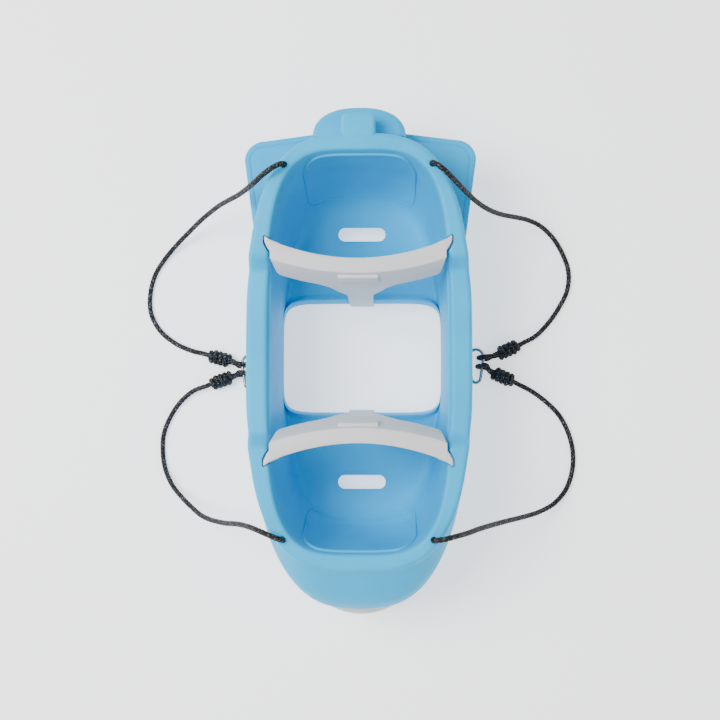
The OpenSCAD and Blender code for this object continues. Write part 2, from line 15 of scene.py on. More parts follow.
import bpy
import numpy as np
from mathutils import Matrix, Vector
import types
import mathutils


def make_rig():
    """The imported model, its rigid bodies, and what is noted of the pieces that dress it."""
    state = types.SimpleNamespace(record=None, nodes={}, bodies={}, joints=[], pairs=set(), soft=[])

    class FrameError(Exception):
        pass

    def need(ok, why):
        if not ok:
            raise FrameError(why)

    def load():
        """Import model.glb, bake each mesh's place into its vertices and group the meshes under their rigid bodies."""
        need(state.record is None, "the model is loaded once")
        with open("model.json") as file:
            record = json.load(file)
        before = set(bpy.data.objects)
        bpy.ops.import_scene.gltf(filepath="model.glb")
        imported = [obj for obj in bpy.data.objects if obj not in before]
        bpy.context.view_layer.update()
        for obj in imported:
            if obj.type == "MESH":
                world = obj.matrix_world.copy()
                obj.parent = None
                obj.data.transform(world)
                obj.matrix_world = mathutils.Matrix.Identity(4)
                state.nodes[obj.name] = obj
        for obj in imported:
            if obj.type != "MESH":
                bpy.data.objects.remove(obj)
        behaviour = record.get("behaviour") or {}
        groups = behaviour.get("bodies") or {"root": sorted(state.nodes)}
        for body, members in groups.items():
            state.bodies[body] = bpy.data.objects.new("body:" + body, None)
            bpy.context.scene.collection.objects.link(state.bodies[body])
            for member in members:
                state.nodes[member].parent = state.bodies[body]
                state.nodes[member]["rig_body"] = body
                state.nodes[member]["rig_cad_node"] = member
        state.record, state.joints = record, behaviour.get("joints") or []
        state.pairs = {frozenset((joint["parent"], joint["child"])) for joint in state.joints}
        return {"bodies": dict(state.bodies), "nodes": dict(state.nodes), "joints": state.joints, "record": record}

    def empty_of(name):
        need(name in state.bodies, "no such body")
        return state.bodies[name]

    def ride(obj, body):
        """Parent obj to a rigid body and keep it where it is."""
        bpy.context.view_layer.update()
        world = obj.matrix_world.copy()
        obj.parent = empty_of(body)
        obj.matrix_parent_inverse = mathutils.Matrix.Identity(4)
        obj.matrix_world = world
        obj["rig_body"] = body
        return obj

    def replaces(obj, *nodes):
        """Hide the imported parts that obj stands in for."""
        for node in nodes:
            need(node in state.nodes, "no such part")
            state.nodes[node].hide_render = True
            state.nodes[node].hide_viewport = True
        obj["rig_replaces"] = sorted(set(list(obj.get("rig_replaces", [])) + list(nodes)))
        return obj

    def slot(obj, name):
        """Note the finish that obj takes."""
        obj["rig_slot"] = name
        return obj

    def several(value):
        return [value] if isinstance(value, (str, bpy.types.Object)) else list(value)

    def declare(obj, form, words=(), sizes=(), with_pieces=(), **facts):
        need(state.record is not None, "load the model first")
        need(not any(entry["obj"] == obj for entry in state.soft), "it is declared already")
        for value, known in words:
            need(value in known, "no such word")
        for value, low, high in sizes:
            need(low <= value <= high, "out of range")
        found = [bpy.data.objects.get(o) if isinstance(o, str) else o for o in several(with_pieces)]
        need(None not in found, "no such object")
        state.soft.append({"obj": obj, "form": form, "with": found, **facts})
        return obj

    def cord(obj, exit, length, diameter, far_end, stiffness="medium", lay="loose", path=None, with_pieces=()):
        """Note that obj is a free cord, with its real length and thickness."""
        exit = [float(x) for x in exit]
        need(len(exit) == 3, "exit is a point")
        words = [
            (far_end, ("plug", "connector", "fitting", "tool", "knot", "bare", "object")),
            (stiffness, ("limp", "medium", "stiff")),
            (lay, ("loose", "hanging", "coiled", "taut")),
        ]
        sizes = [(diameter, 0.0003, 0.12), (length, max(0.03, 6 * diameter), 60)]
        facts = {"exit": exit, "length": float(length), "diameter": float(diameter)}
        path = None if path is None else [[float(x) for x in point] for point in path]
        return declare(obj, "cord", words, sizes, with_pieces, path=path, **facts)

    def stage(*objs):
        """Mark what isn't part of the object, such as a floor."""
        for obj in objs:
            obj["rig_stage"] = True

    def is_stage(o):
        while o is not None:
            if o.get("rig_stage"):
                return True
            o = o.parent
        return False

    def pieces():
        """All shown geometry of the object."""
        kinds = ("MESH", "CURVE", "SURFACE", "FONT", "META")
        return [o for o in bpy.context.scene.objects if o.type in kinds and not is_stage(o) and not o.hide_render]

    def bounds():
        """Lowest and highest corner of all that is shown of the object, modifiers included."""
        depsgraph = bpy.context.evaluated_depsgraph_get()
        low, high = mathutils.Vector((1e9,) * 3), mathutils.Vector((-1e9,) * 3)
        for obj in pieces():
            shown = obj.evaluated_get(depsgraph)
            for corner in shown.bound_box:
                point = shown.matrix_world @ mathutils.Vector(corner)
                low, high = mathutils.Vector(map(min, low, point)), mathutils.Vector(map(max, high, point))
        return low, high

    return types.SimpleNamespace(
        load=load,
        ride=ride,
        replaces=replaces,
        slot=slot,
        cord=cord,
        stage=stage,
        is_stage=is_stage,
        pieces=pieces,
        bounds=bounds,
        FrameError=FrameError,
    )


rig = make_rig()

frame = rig.load()
CAD_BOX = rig.bounds()

logging.basicConfig(level=logging.INFO, format="%(name)s: %(message)s")
LOG = logging.getLogger("swing")

MM = 0.001
MIDDLE_Y = 19.25
Array = np.ndarray


class Place(Enum):
    """One of two opposite places, with the sign of its axis."""

    @property
    def label(self) -> str:
        """The place's word in the names of pieces and nodes."""
        return self.name.lower()


class Side(Place):
    """Left or right of the middle plane, with the sign of X."""

    LEFT = -1
    RIGHT = 1


class End(Place):
    """Bow or stern, with the sign of Y."""

    BOW = -1
    STERN = 1


# --- numbers and curves ---------------------------------------------------------------------


def smooth(x: Array, low: float, high: float) -> Array:
    """Cubic step from 0 at ``low`` to 1 at ``high``: t * t * (3 - 2 t)."""
    t = np.clip((np.asarray(x, float) - low) / (high - low), 0, 1)
    return t * t * (3 - 2 * t)


def bump(x: Array, middle: float, half: float) -> Array:
    """A smooth hill of height 1 at ``middle`` that reaches 0 at ``half`` on either side."""
    return 1 - smooth(np.abs(np.asarray(x, float) - middle), 0, half)


def outline(angle: Array, a: Array, b: Array, n: Array) -> tuple[Array, Array]:
    """Superellipse |x/a|^n + |y/b|^n = 1.

    Args:
        angle: Parameter in radians, from +X towards +Y.
        a: Half width.
        b: Half length.
        n: Exponent; 2 is an ellipse, higher values are squarer.

    Returns:
        The x and y of each point.
    """
    c, s = np.cos(angle), np.sin(angle)
    k = (np.abs(c) ** n + np.abs(s) ** n) ** (-1 / n)
    return a * c * k, b * s * k


def half_width(y: Array, a: float, b: float, n: float) -> Array:
    """Half width of a superellipse at the distance y: a * (1 - |y/b|^n)^(1/n)."""
    t = np.minimum(np.abs(np.asarray(y, float)) / b, 1)
    return a * (1 - t**n) ** (1 / n)


def monotone(t: Array, knots: Array, values: Array) -> Array:
    """Monotone cubic interpolation of each column of ``values`` over ``knots``.

    The slope at a knot is the harmonic mean of its two neighbours' slopes, or 0 where they
    differ in sign, so that the curve never overshoots a row.

    Args:
        t: Where to read the curves.
        knots: Rising parameter values.
        values: One row for each knot, one column for each curve.

    Returns:
        An array of shape (len(t), columns).
    """
    h = np.diff(knots)[:, None]
    d = np.diff(values, axis=0) / h
    product = d[:-1] * d[1:]
    w1, w2 = 2 * h[1:] + h[:-1], h[1:] + 2 * h[:-1]
    with np.errstate(divide="ignore", invalid="ignore"):
        inner = np.where(product > 0, (w1 + w2) / (w1 / d[:-1] + w2 / d[1:]), 0)
    m = np.vstack([d[:1], inner, d[-1:]])
    i = np.clip(np.searchsorted(knots, t, side="right") - 1, 0, len(knots) - 2)
    u = ((t - knots[i]) / (knots[i + 1] - knots[i]))[:, None]
    hi = h[i]
    return (
        values[i] * (1 + 2 * u) * (1 - u) ** 2
        + m[i] * hi * u * (1 - u) ** 2
        + values[i + 1] * u * u * (3 - 2 * u)
        + m[i + 1] * hi * u * u * (u - 1)
    )


def spline(points: Sequence[Sequence[float]], step: float) -> Array:
    """Centripetal Catmull-Rom curve through the points, read every ``step`` of length."""
    p = np.asarray(points, float)
    p = np.vstack([2 * p[0] - p[1], p, 2 * p[-1] - p[-2]])
    knots = np.concatenate([[0], np.cumsum(np.sqrt(np.linalg.norm(np.diff(p, axis=0), axis=1)))])
    fine = np.linspace(knots[1], knots[-2], 60 * (len(points) - 1) + 1)
    i = np.clip(np.searchsorted(knots, fine, side="right") - 1, 1, len(knots) - 3)
    t0, t1, t2, t3 = (knots[i + k][:, None] for k in (-1, 0, 1, 2))
    p0, p1, p2, p3 = (p[i + k] for k in (-1, 0, 1, 2))
    t = fine[:, None]
    a1 = (t1 - t) / (t1 - t0) * p0 + (t - t0) / (t1 - t0) * p1
    a2 = (t2 - t) / (t2 - t1) * p1 + (t - t1) / (t2 - t1) * p2
    a3 = (t3 - t) / (t3 - t2) * p2 + (t - t2) / (t3 - t2) * p3
    b1 = (t2 - t) / (t2 - t0) * a1 + (t - t0) / (t2 - t0) * a2
    b2 = (t3 - t) / (t3 - t1) * a2 + (t - t1) / (t3 - t1) * a3
    return resample((t2 - t) / (t2 - t1) * b1 + (t - t1) / (t2 - t1) * b2, step)


def resample(curve: Array, step: float) -> Array:
    """The same curve with points evenly ``step`` apart, or as near as its length allows."""
    along = lengths_along(curve)
    t = np.linspace(0, along[-1], max(2, round(along[-1] / step) + 1))
    return np.stack([np.interp(t, along, curve[:, k]) for k in range(curve.shape[1])], 1)


def lengths_along(curve: Array) -> Array:
    """The curve's length from its first point to each of its points."""
    return np.concatenate([[0], np.cumsum(np.linalg.norm(np.diff(curve, axis=0), axis=1))])


def unit_rows(rows: Array) -> Array:
    """Each row scaled to the length 1; a row of zeros stays as it is."""
    return rows / np.maximum(np.linalg.norm(rows, axis=1), 1e-9)[:, None]


def arc(x: float, y: float, a: float, b: float, degrees: Array) -> Array:
    """Points (x + a cos, y + b sin) at angles given in degrees."""
    turn = np.radians(degrees)
    return np.stack([x + a * np.cos(turn), y + b * np.sin(turn)], 1)


def frames_along(curve: Array, start: Sequence[float]) -> tuple[Array, Array, Array]:
    """Tangents and two side vectors along a curve, turned as little as the curve allows.

    Args:
        curve: Points of the curve.
        start: A direction that the first side vector starts nearest to.

    Returns:
        Unit tangents and the two unit side vectors, each of shape (points, 3).
    """
    t = unit_rows(np.gradient(curve, axis=0))
    s = np.empty_like(t)
    v = np.asarray(start, float)
    for i, ti in enumerate(t):  # each side vector is the last one made square to the tangent
        v = v - ti * (v @ ti)
        v = v / np.linalg.norm(v)
        s[i] = v
    return t, s, np.cross(t, s)


# --- meshes -----------------------------------------------------------------------------------


@dataclass
class Grid:
    """A grid of points that becomes a mesh, with capped or closed edges.

    Attributes:
        points: Array of shape (rows, columns, 3), in millimetres.
        around: Whether the last column joins the first.
        looped: Whether the last row joins the first.
        caps: Whether the first and the last row are closed with a face.
    """

    points: Array
    around: bool = True
    looped: bool = False
    caps: bool = True

    def faces(self) -> tuple[Array, list[list[int]]]:
        """Quads between rows and columns, and the cap faces."""
        rows, cols = self.points.shape[:2]
        i = np.arange(rows if self.looped else rows - 1)[:, None]
        j = np.arange(cols if self.around else cols - 1)[None, :]
        i2, j2 = (i + 1) % rows, (j + 1) % cols
        quads = np.stack([i * cols + j, i * cols + j2, i2 * cols + j2, i2 * cols + j], -1)
        caps = []
        if self.caps and self.around and not self.looped:
            caps = [list(range(cols))[::-1], list(range((rows - 1) * cols, rows * cols))]
        return quads.reshape(-1, 4), caps


class MeshMaker:
    """Turns grids in millimetres into named objects in the shared frame.

    Attributes:
        sharp: Angle in degrees above which an edge is shaded sharp.
        soft: The same angle for braided rope, whose grooves stay soft.
    """

    sharp = 40.0
    soft = 80.0

    def __init__(self, shift_y: float = MIDDLE_Y) -> None:
        """Args: shift_y: What is added to every y, in millimetres."""
        self.shift = np.array([0, shift_y, 0])

    def make(self, name: str, grids: Sequence[Grid], sharp: float = sharp) -> bpy.types.Object:
        """One object out of one or more closed grids, with its faces outward.

        Args:
            name: The object's name.
            grids: The grids, in millimetres.
            sharp: Angle in degrees above which an edge is shaded sharp.

        Returns:
            The linked object, at the origin.
        """
        points, faces, start = [], [], 0
        for grid in grids:
            flat = grid.points.reshape(-1, 3)
            quads, caps = grid.faces()
            if self._volume(flat, quads, caps) < 0:
                quads, caps = quads[:, ::-1], [c[::-1] for c in caps]
            faces += (quads + start).tolist() + [[k + start for k in c] for c in caps]
            points.append(flat)
            start += len(flat)
        mesh = bpy.data.meshes.new(name)
        mesh.from_pydata(((np.vstack(points) + self.shift) * MM).tolist(), [], faces)
        mesh.validate()
        mesh.shade_smooth()
        mesh.set_sharp_from_angle(angle=math.radians(sharp))
        obj = bpy.data.objects.new(name, mesh)
        bpy.context.scene.collection.objects.link(obj)
        LOG.info("%s: %d points, %d faces", name, len(mesh.vertices), len(mesh.polygons))
        return obj

    @staticmethod
    def _volume(points: Array, quads: Array, caps: list[list[int]]) -> float:
        """Signed volume, a sixth of the sum of a . (b x c) over the triangles."""
        triangles = [quads[:, [0, 1, 2]], quads[:, [0, 2, 3]]]
        triangles += [np.array([[c[0], c[k], c[k + 1]] for k in range(1, len(c) - 1)]) for c in caps]
        a, b, c = (points[np.vstack(triangles)[:, k]] for k in range(3))
        return float(np.einsum("ij,ij->i", a, np.cross(b, c)).sum() / 6)

    def cut(self, obj: bpy.types.Object, cutters: Sequence[bpy.types.Object]) -> bpy.types.Object:
        """Takes the cutters' volume out of ``obj`` and removes the cutters."""
        for cutter in cutters:
            mod = obj.modifiers.new(cutter.name, "BOOLEAN")
            mod.object, mod.operation, mod.solver = cutter, "DIFFERENCE", "MANIFOLD"
        bpy.context.view_layer.update()
        seen = obj.evaluated_get(bpy.context.evaluated_depsgraph_get())
        mesh = bpy.data.meshes.new_from_object(seen)
        obj.modifiers.clear()
        old, obj.data = obj.data, mesh
        bpy.data.meshes.remove(old)
        for cutter in cutters:
            data = cutter.data
            bpy.data.objects.remove(cutter)
            bpy.data.meshes.remove(data)
        mesh.set_sharp_from_angle(angle=math.radians(self.sharp))
        LOG.info("%s: cut to %d faces", obj.name, len(mesh.polygons))
        return obj


def tube(curve: Array, radius: Array, sides: int, start: Sequence[float]) -> Grid:
    """A capped tube along a curve.

    Args:
        curve: Centreline points.
        radius: One radius for each point, or a (points, sides) array.
        sides: Points around.
        start: Direction of the first side vector.

    Returns:
        The tube's grid.
    """
    _, s, u = frames_along(curve, start)
    a = 2 * np.pi * np.arange(sides) / sides
    r = np.broadcast_to(np.asarray(radius, float).reshape(len(curve), -1), (len(curve), sides))
    ring = np.cos(a)[None, :, None] * s[:, None] + np.sin(a)[None, :, None] * u[:, None]
    return Grid(curve[:, None] + r[..., None] * ring)


def lathe(profile: Sequence[Sequence[float]], sides: int, place: Callable[[Array], Array]) -> Grid:
    """A closed solid of revolution.

    Args:
        profile: Points (radius, height) from one pole to the other.
        sides: Points around.
        place: Maps points of the own frame, with the axis along z, to where they belong.

    Returns:
        The solid's grid; its first and last rows are small capped rings at the poles.
    """
    p = np.asarray(profile, float)
    r = np.maximum(p[:, 0], 0.02)
    a = 2 * np.pi * np.arange(sides) / sides
    z = np.broadcast_to(p[:, 1][:, None], (len(p), sides))
    points = np.stack([r[:, None] * np.cos(a), r[:, None] * np.sin(a), z], -1)
    return Grid(place(points))


def rounded(corners: Sequence[tuple[float, float, float]], step: float = 15.0) -> Array:
    """A polygon's points with its corners rounded.

    Args:
        corners: (x, y, radius) of each corner, in order.
        step: Largest turn between two points of a corner, in degrees.

    Returns:
        Points of shape (n, 2).
    """
    out = []
    n = len(corners)
    for i, (x, y, r) in enumerate(corners):
        here = np.array([x, y])
        before = np.array(corners[i - 1][:2]) - here
        after = np.array(corners[(i + 1) % n][:2]) - here
        u, v = before / np.linalg.norm(before), after / np.linalg.norm(after)
        half = math.acos(float(np.clip(u @ v, -1, 1))) / 2
        if r <= 0 or abs(half - math.pi / 2) < 1e-3:
            out.append(here[None])
            continue
        middle = here + (u + v) / np.linalg.norm(u + v) * r / math.sin(half)
        first, last = here + u * r / math.tan(half), here + v * r / math.tan(half)
        a0 = math.atan2(*(first - middle)[::-1])
        turn = (math.atan2(*(last - middle)[::-1]) - a0 + math.pi) % (2 * math.pi) - math.pi
        k = np.linspace(0, 1, max(2, math.ceil(abs(math.degrees(turn)) / step) + 1))
        out.append(middle + r * np.stack([np.cos(a0 + turn * k), np.sin(a0 + turn * k)], 1))
    return np.vstack(out)


def inset(loop: Array, distance: float) -> Array:
    """A closed anticlockwise loop moved inward by ``distance`` along its corners' bisectors."""
    before, after = loop - np.roll(loop, 1, 0), np.roll(loop, -1, 0) - loop
    n = sum(unit_rows(np.stack([-side[:, 1], side[:, 0]], 1)) for side in (before, after))
    return loop + n * (distance * 2 / np.maximum((n * n).sum(1), 0.5))[:, None]


def lifted(loop: Array, height: float) -> Array:
    """A plane loop's points at a height."""
    return np.column_stack([loop, np.full(len(loop), height)])


def edge_arc(radius: float, level: float, facing: int, steps: int) -> list[tuple[float, float]]:
    """A rounded edge, from the flat face out to the flank.

    Args:
        radius: Radius of the edge.
        level: Height of the face.
        facing: 1 for a face that looks up, -1 for one that looks down.
        steps: Steps over the quarter turn.

    Returns:
        The (inset, height) pair of each ring.
    """
    a = np.linspace(0, np.pi / 2, steps + 1)
    return [(radius * (1 - math.sin(k)), level - facing * radius * (1 - math.cos(k))) for k in a]


def prism(loop: Array, low: float, high: float, edge: float, flare: float = 0.0,
          steps: int = 4) -> Array:
    """Rings of a prism over a loop, its ends rounded with the radius ``edge``.

    Args:
        loop: Anticlockwise outline in the plane.
        low: Height of the lower end.
        high: Height of the upper end.
        edge: Radius of the edges at both ends.
        flare: When it is above 0, the upper end opens outward over this radius instead, and
            goes on up for a few millimetres, as a cutter does.
        steps: Rings in each rounding.

    Returns:
        Points of shape (rings, points, 3).
    """
    rings = edge_arc(edge, low, -1, steps)
    if flare:
        opening = edge_arc(flare, high, 1, steps)[::-1]
        rings += [(-d, z) for d, z in opening] + [(-flare - 0.5, high + 6)]
    else:
        rings += edge_arc(edge, high, 1, steps)[::-1]
    return np.stack([lifted(inset(loop, d), z) for d, z in rings])


# --- finishes -----------------------------------------------------------------------------------


def linear(hex_colour: str) -> tuple[float, float, float, float]:
    """The linear RGBA of an sRGB colour written as RRGGBB."""
    c = np.array([int(hex_colour[k : k + 2], 16) for k in (0, 2, 4)]) / 255
    c = np.where(c <= 0.04045, c / 12.92, ((c + 0.055) / 1.055) ** 2.4)
    return (float(c[0]), float(c[1]), float(c[2]), 1.0)


class Shader:
    """A material's node tree with one way to add a node."""

    def __init__(self, name: str) -> None:
        """Args: name: The material's name."""
        self.material = bpy.data.materials.new(name)
        self.material.use_nodes = True
        self.tree = self.material.node_tree
        self.tree.nodes.clear()

    def add(self, kind: str, settings: dict | None = None, **inputs) -> bpy.types.Node:
        """Adds a node, sets its properties and fills or links its inputs.

        Args:
            kind: The node's type, without the ShaderNode prefix.
            settings: Properties of the node.
            **inputs: Socket names, with _ for a blank, or in<index>; a value or an output socket.

        Returns:
            The node.
        """
        node = self.tree.nodes.new("ShaderNode" + kind)
        for key, value in (settings or {}).items():
            setattr(node, key, value)
        for key, value in inputs.items():
            by_index = key[:2] == "in" and key[2:].isdigit()
            socket = node.inputs[int(key[2:]) if by_index else key.replace("_", " ")]
            if isinstance(value, bpy.types.NodeSocket):
                self.tree.links.new(value, socket)
            else:
                socket.default_value = value
        return node

    def ramp(self, factor, stops: Sequence[tuple[float, str]]) -> bpy.types.NodeSocket:
        """A colour ramp over ``factor`` through the (position, RRGGBB) stops."""
        node = self.add("ValToRGB", Fac=factor)
        elements = node.color_ramp.elements
        while len(elements) < len(stops):
            elements.new(0.5)
        for element, (position, colour) in zip(elements, stops):
            element.position, element.color = position, linear(colour)
        return node.outputs["Color"]

    def span(self, value, low: float, high: float, to_low: float, to_high: float):
        """``value`` mapped from one range to another, clamped."""
        node = self.add("MapRange", Value=value)
        names = ("From Min", "From Max", "To Min", "To Max")
        for key, number in zip(names, (low, high, to_low, to_high)):
            node.inputs[key].default_value = number
        return node.outputs["Result"]

    def finish(self, **inputs) -> bpy.types.Material:
        """Ends the tree with a Principled shader that has these inputs."""
        shader = self.add("BsdfPrincipled", **inputs)
        self.add("OutputMaterial", Surface=shader.outputs["BSDF"])
        return self.material


@dataclass(frozen=True)
class Polyethylene:
    """Rotomoulded polyethylene: satin, slightly waxy, with a faint orange peel."""

    name: str = "polyethylene"
    colour: str = "00b0e4"
    shade: str = "00a8dc"
    roughness: float = 0.5
    peel_mm: float = 5.0

    def build(self) -> bpy.types.Material:
        """The material: cloudy pigment, fine orange peel, scuffs in the gloss."""
        s = Shader(self.name)
        where = s.add("TexCoord").outputs["Object"]
        cloud = s.add("TexNoise", Vector=where, Scale=1 / (90 * MM), Detail=3.0)
        colour = s.ramp(s.span(cloud.outputs["Fac"], 0.35, 0.65, 0, 1),
                        [(0.0, self.shade), (1.0, self.colour)])
        peel = s.add("TexNoise", Vector=where, Scale=1 / (self.peel_mm * MM), Detail=2.0)
        grain = s.add("TexNoise", Vector=where, Scale=1 / (0.7 * MM), Detail=1.0)
        coarse = s.add("Bump", Strength=0.10, Distance=0.25 * MM, Height=peel.outputs["Fac"])
        fine = s.add("Bump", Strength=0.05, Distance=0.06 * MM, Height=grain.outputs["Fac"],
                     Normal=coarse.outputs["Normal"])
        scuff = s.add("TexNoise", Vector=where, Scale=1 / (24 * MM), Detail=6.0, Roughness=0.7)
        rough = s.span(scuff.outputs["Fac"], 0.3, 0.75, self.roughness - 0.05, self.roughness + 0.09)
        return s.finish(Base_Color=colour, Roughness=rough, IOR=1.51, Specular_IOR_Level=0.15,
                        Normal=fine.outputs["Normal"])


@dataclass(frozen=True)
class Polypropylene:
    """Injection-moulded polypropylene with a fine spark-eroded grain."""

    name: str
    colour: str
    roughness: float = 0.5

    def build(self) -> bpy.types.Material:
        """The material: an even pigment with a fine pitted grain."""
        s = Shader(self.name)
        where = s.add("TexCoord").outputs["Object"]
        grain = s.add("TexNoise", Vector=where, Scale=1 / (0.5 * MM), Detail=2.0)
        flow = s.add("TexNoise", Vector=where, Scale=1 / (60 * MM), Detail=2.0)
        tint = s.add("MixRGB", {"blend_type": "MULTIPLY"}, in0=0.06, in1=linear(self.colour),
                     in2=flow.outputs["Color"])
        bumped = s.add("Bump", Strength=0.12, Distance=0.05 * MM, Height=grain.outputs["Fac"])
        rough = s.span(flow.outputs["Fac"], 0.3, 0.7, self.roughness - 0.04, self.roughness + 0.05)
        return s.finish(Base_Color=tint.outputs["Color"], Roughness=rough, IOR=1.49,
                        Normal=bumped.outputs["Normal"])


@dataclass(frozen=True)
class BraidedPolypropylene:
    """Black braided polypropylene cord: dull filaments with a slight plastic sheen, and painted highlights in grey
    flecks.
    """

    name: str = "braided_polypropylene"
    colour: str = "080809"
    # the light grey of the painted highlight flecks
    light: str = "7c7c82"

    def build(self) -> bpy.types.Material:
        """The material: hair-fine filaments, with painted highlights: grey flecks from a fine noise over the black,
        standing in for glints off the strands.
        """
        s = Shader(self.name)
        where = s.add("TexCoord").outputs["Object"]
        hairs = s.add("TexNoise", Vector=where, Scale=1 / (0.45 * MM), Detail=3.0)
        # painted highlights: a 2.6 mm noise lightens the black to grey in flecks that stand in for glints off the
        # strands
        painted_glints = s.add("TexNoise", Vector=where, Scale=1 / (2.6 * MM), Detail=2.0)
        colour = s.ramp(painted_glints.outputs["Fac"], [(0.54, self.colour), (0.74, self.light)])
        bumped = s.add("Bump", Strength=0.3, Distance=0.12 * MM, Height=hairs.outputs["Fac"])
        return s.finish(Base_Color=colour, Roughness=0.6, IOR=1.49, Specular_IOR_Level=0.25,
                        Normal=bumped.outputs["Normal"])


@dataclass(frozen=True)
class ZincPlatedSteel:
    """Bright zinc-plated steel wire with fine drawing marks."""

    name: str = "zinc_plated_steel"
    colour: str = "9ba1a8"
    roughness: float = 0.2

    def build(self) -> bpy.types.Material:
        """The material: blue-white zinc with cloudy passivation and small scratches."""
        s = Shader(self.name)
        where = s.add("TexCoord").outputs["Object"]
        cloud = s.add("TexNoise", Vector=where, Scale=1 / (6 * MM), Detail=4.0)
        colour = s.ramp(cloud.outputs["Fac"], [(0.3, "80868e"), (0.7, self.colour)])
        marks = s.add("TexNoise", Vector=where, Scale=1 / (0.4 * MM), Detail=2.0)
        bumped = s.add("Bump", Strength=0.08, Distance=0.03 * MM, Height=marks.outputs["Fac"])
        rough = s.span(cloud.outputs["Fac"], 0.3, 0.7, self.roughness, self.roughness + 0.14)
        return s.finish(Base_Color=colour, Metallic=1.0, Roughness=rough,
                        Normal=bumped.outputs["Normal"])


@dataclass(frozen=True)
class Finish:
    """A material and the record's slot that it belongs to."""

    material: bpy.types.Material
    slot: str


class Finishes:
    """One finish of each kind, made once and shared."""

    def __init__(self) -> None:
        """Builds the five materials."""
        light = Polypropylene("polypropylene_light_grey", "cfced0")
        warm = Polypropylene("polypropylene_warm_grey", "bfc4c3")
        self.hull = Finish(Polyethylene().build(), "hull_plastic")
        self.bar = Finish(light.build(), "trim_plastic")
        self.cap = Finish(warm.build(), "trim_plastic")
        self.rope = Finish(BraidedPolypropylene().build(), "rope")
        self.steel = Finish(ZincPlatedSteel().build(), "steel")


class Assembly:
    """Something that builds meshes, gives each its finish and body, and logs it."""

    def __init__(self, finishes: Finishes) -> None:
        """Args: finishes: The shared materials."""
        self.finishes = finishes
        self.maker = MeshMaker()

    def piece(self, name: str, grids: Sequence[Grid], finish: Finish, *nodes: str,
              body: str = "root", sharp: float = MeshMaker.sharp) -> bpy.types.Object:
        """Makes a piece and dresses it.

        Args:
            name: The piece's name.
            grids: Its closed grids, in millimetres.
            finish: Its material and slot.
            *nodes: CAD nodes that it replaces.
            body: The CAD body that it rides on.
            sharp: Angle in degrees above which an edge is shaded sharp.

        Returns:
            The piece.
        """
        return self.dress(self.maker.make(name, grids, sharp), finish, body, *nodes)

    def dress(self, obj: bpy.types.Object, finish: Finish, body: str, *nodes: str) -> bpy.types.Object:
        """Gives a piece its material, body, slot and the CAD nodes that it stands for.

        Args:
            obj: The piece.
            finish: Its material and slot.
            body: The CAD body that it rides on.
            *nodes: CAD nodes that it replaces.

        Returns:
            The piece.
        """
        obj.data.materials.clear()
        obj.data.materials.append(finish.material)
        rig.ride(obj, body)
        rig.slot(obj, finish.slot)
        if nodes:
            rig.replaces(obj, *nodes)
        LOG.info("%s rides on %s", obj.name, body)
        return obj


# --- hull ---------------------------------------------------------------------------------------


@dataclass
class HullSize:
    """Sizes of the moulding, in millimetres."""

    width: float = 386
    rim_length: float = 754
    rim_height: float = 270
    rail_drop: float = 35
    rail_width: float = 38
    rim_end_width: float = 32
    wall: float = 4
    bow_reach: float = 77
    stern_reach: float = 14
    pan_height: float = 45
    opening_width: float = 301
    opening_length: float = 209
    lip_height: float = 25
    slot_length: float = 90
    slot_width: float = 26
    slot_y: float = 236
    rail_end: float = 138
    rim_start: float = 168
    hole_diameter: float = 11
    rope_inset: float = 13
    rope_angle: float = 52
    rim_power: float = 3.1
    well_power: float = 3.9
    rim_round: float = 11
    rail_bulge: float = 0.024
    bulge_full: float = 90
    bulge_end: float = 210
    panel_a: float = 100
    panel_below_rim: float = 23
    panel_above_pan: float = 18
    panel_sunk: float = 2.2
    ridge_r: float = 3.4

    @property
    def rim_a(self) -> float:
        """Half width of the rim."""
        return self.width / 2

    @property
    def rim_b(self) -> float:
        """Half length of the rim."""
        return self.rim_length / 2

    @property
    def well_a(self) -> float:
        """Half width of the wells at the rim."""
        return self.rim_a - self.rail_width

    @property
    def well_b(self) -> float:
        """Half length of the wells at the rim."""
        return self.rim_b - self.rim_end_width

    @property
    def bow_b(self) -> float:
        """Distance of the bow from the middle."""
        return self.rim_b + self.bow_reach

    @property
    def stern_b(self) -> float:
        """Distance of the hull side's stern end from the middle."""
        return self.rim_b + self.stern_reach

    @property
    def open_a(self) -> float:
        """Half width of the leg opening."""
        return self.opening_width / 2

    @property
    def open_b(self) -> float:
        """Half length of the leg opening."""
        return self.opening_length / 2

    @property
    def panel_top(self) -> float:
        """Height of a backrest panel's upper edge."""
        return self.rim_height - self.panel_below_rim

    @property
    def panel_low(self) -> float:
        """Height of a backrest panel's lower edge."""
        return self.pan_height + self.panel_above_pan

    def hole_place(self, side: Side, end: End) -> Array:
        """Where a rope hole goes through the rim."""
        x, y = outline(math.radians(self.rope_angle), self.rim_a, self.rim_b, self.rim_power)
        k = 1 - self.rope_inset / math.hypot(x, y)
        return np.array([side.value * x * k, end.value * y * k])


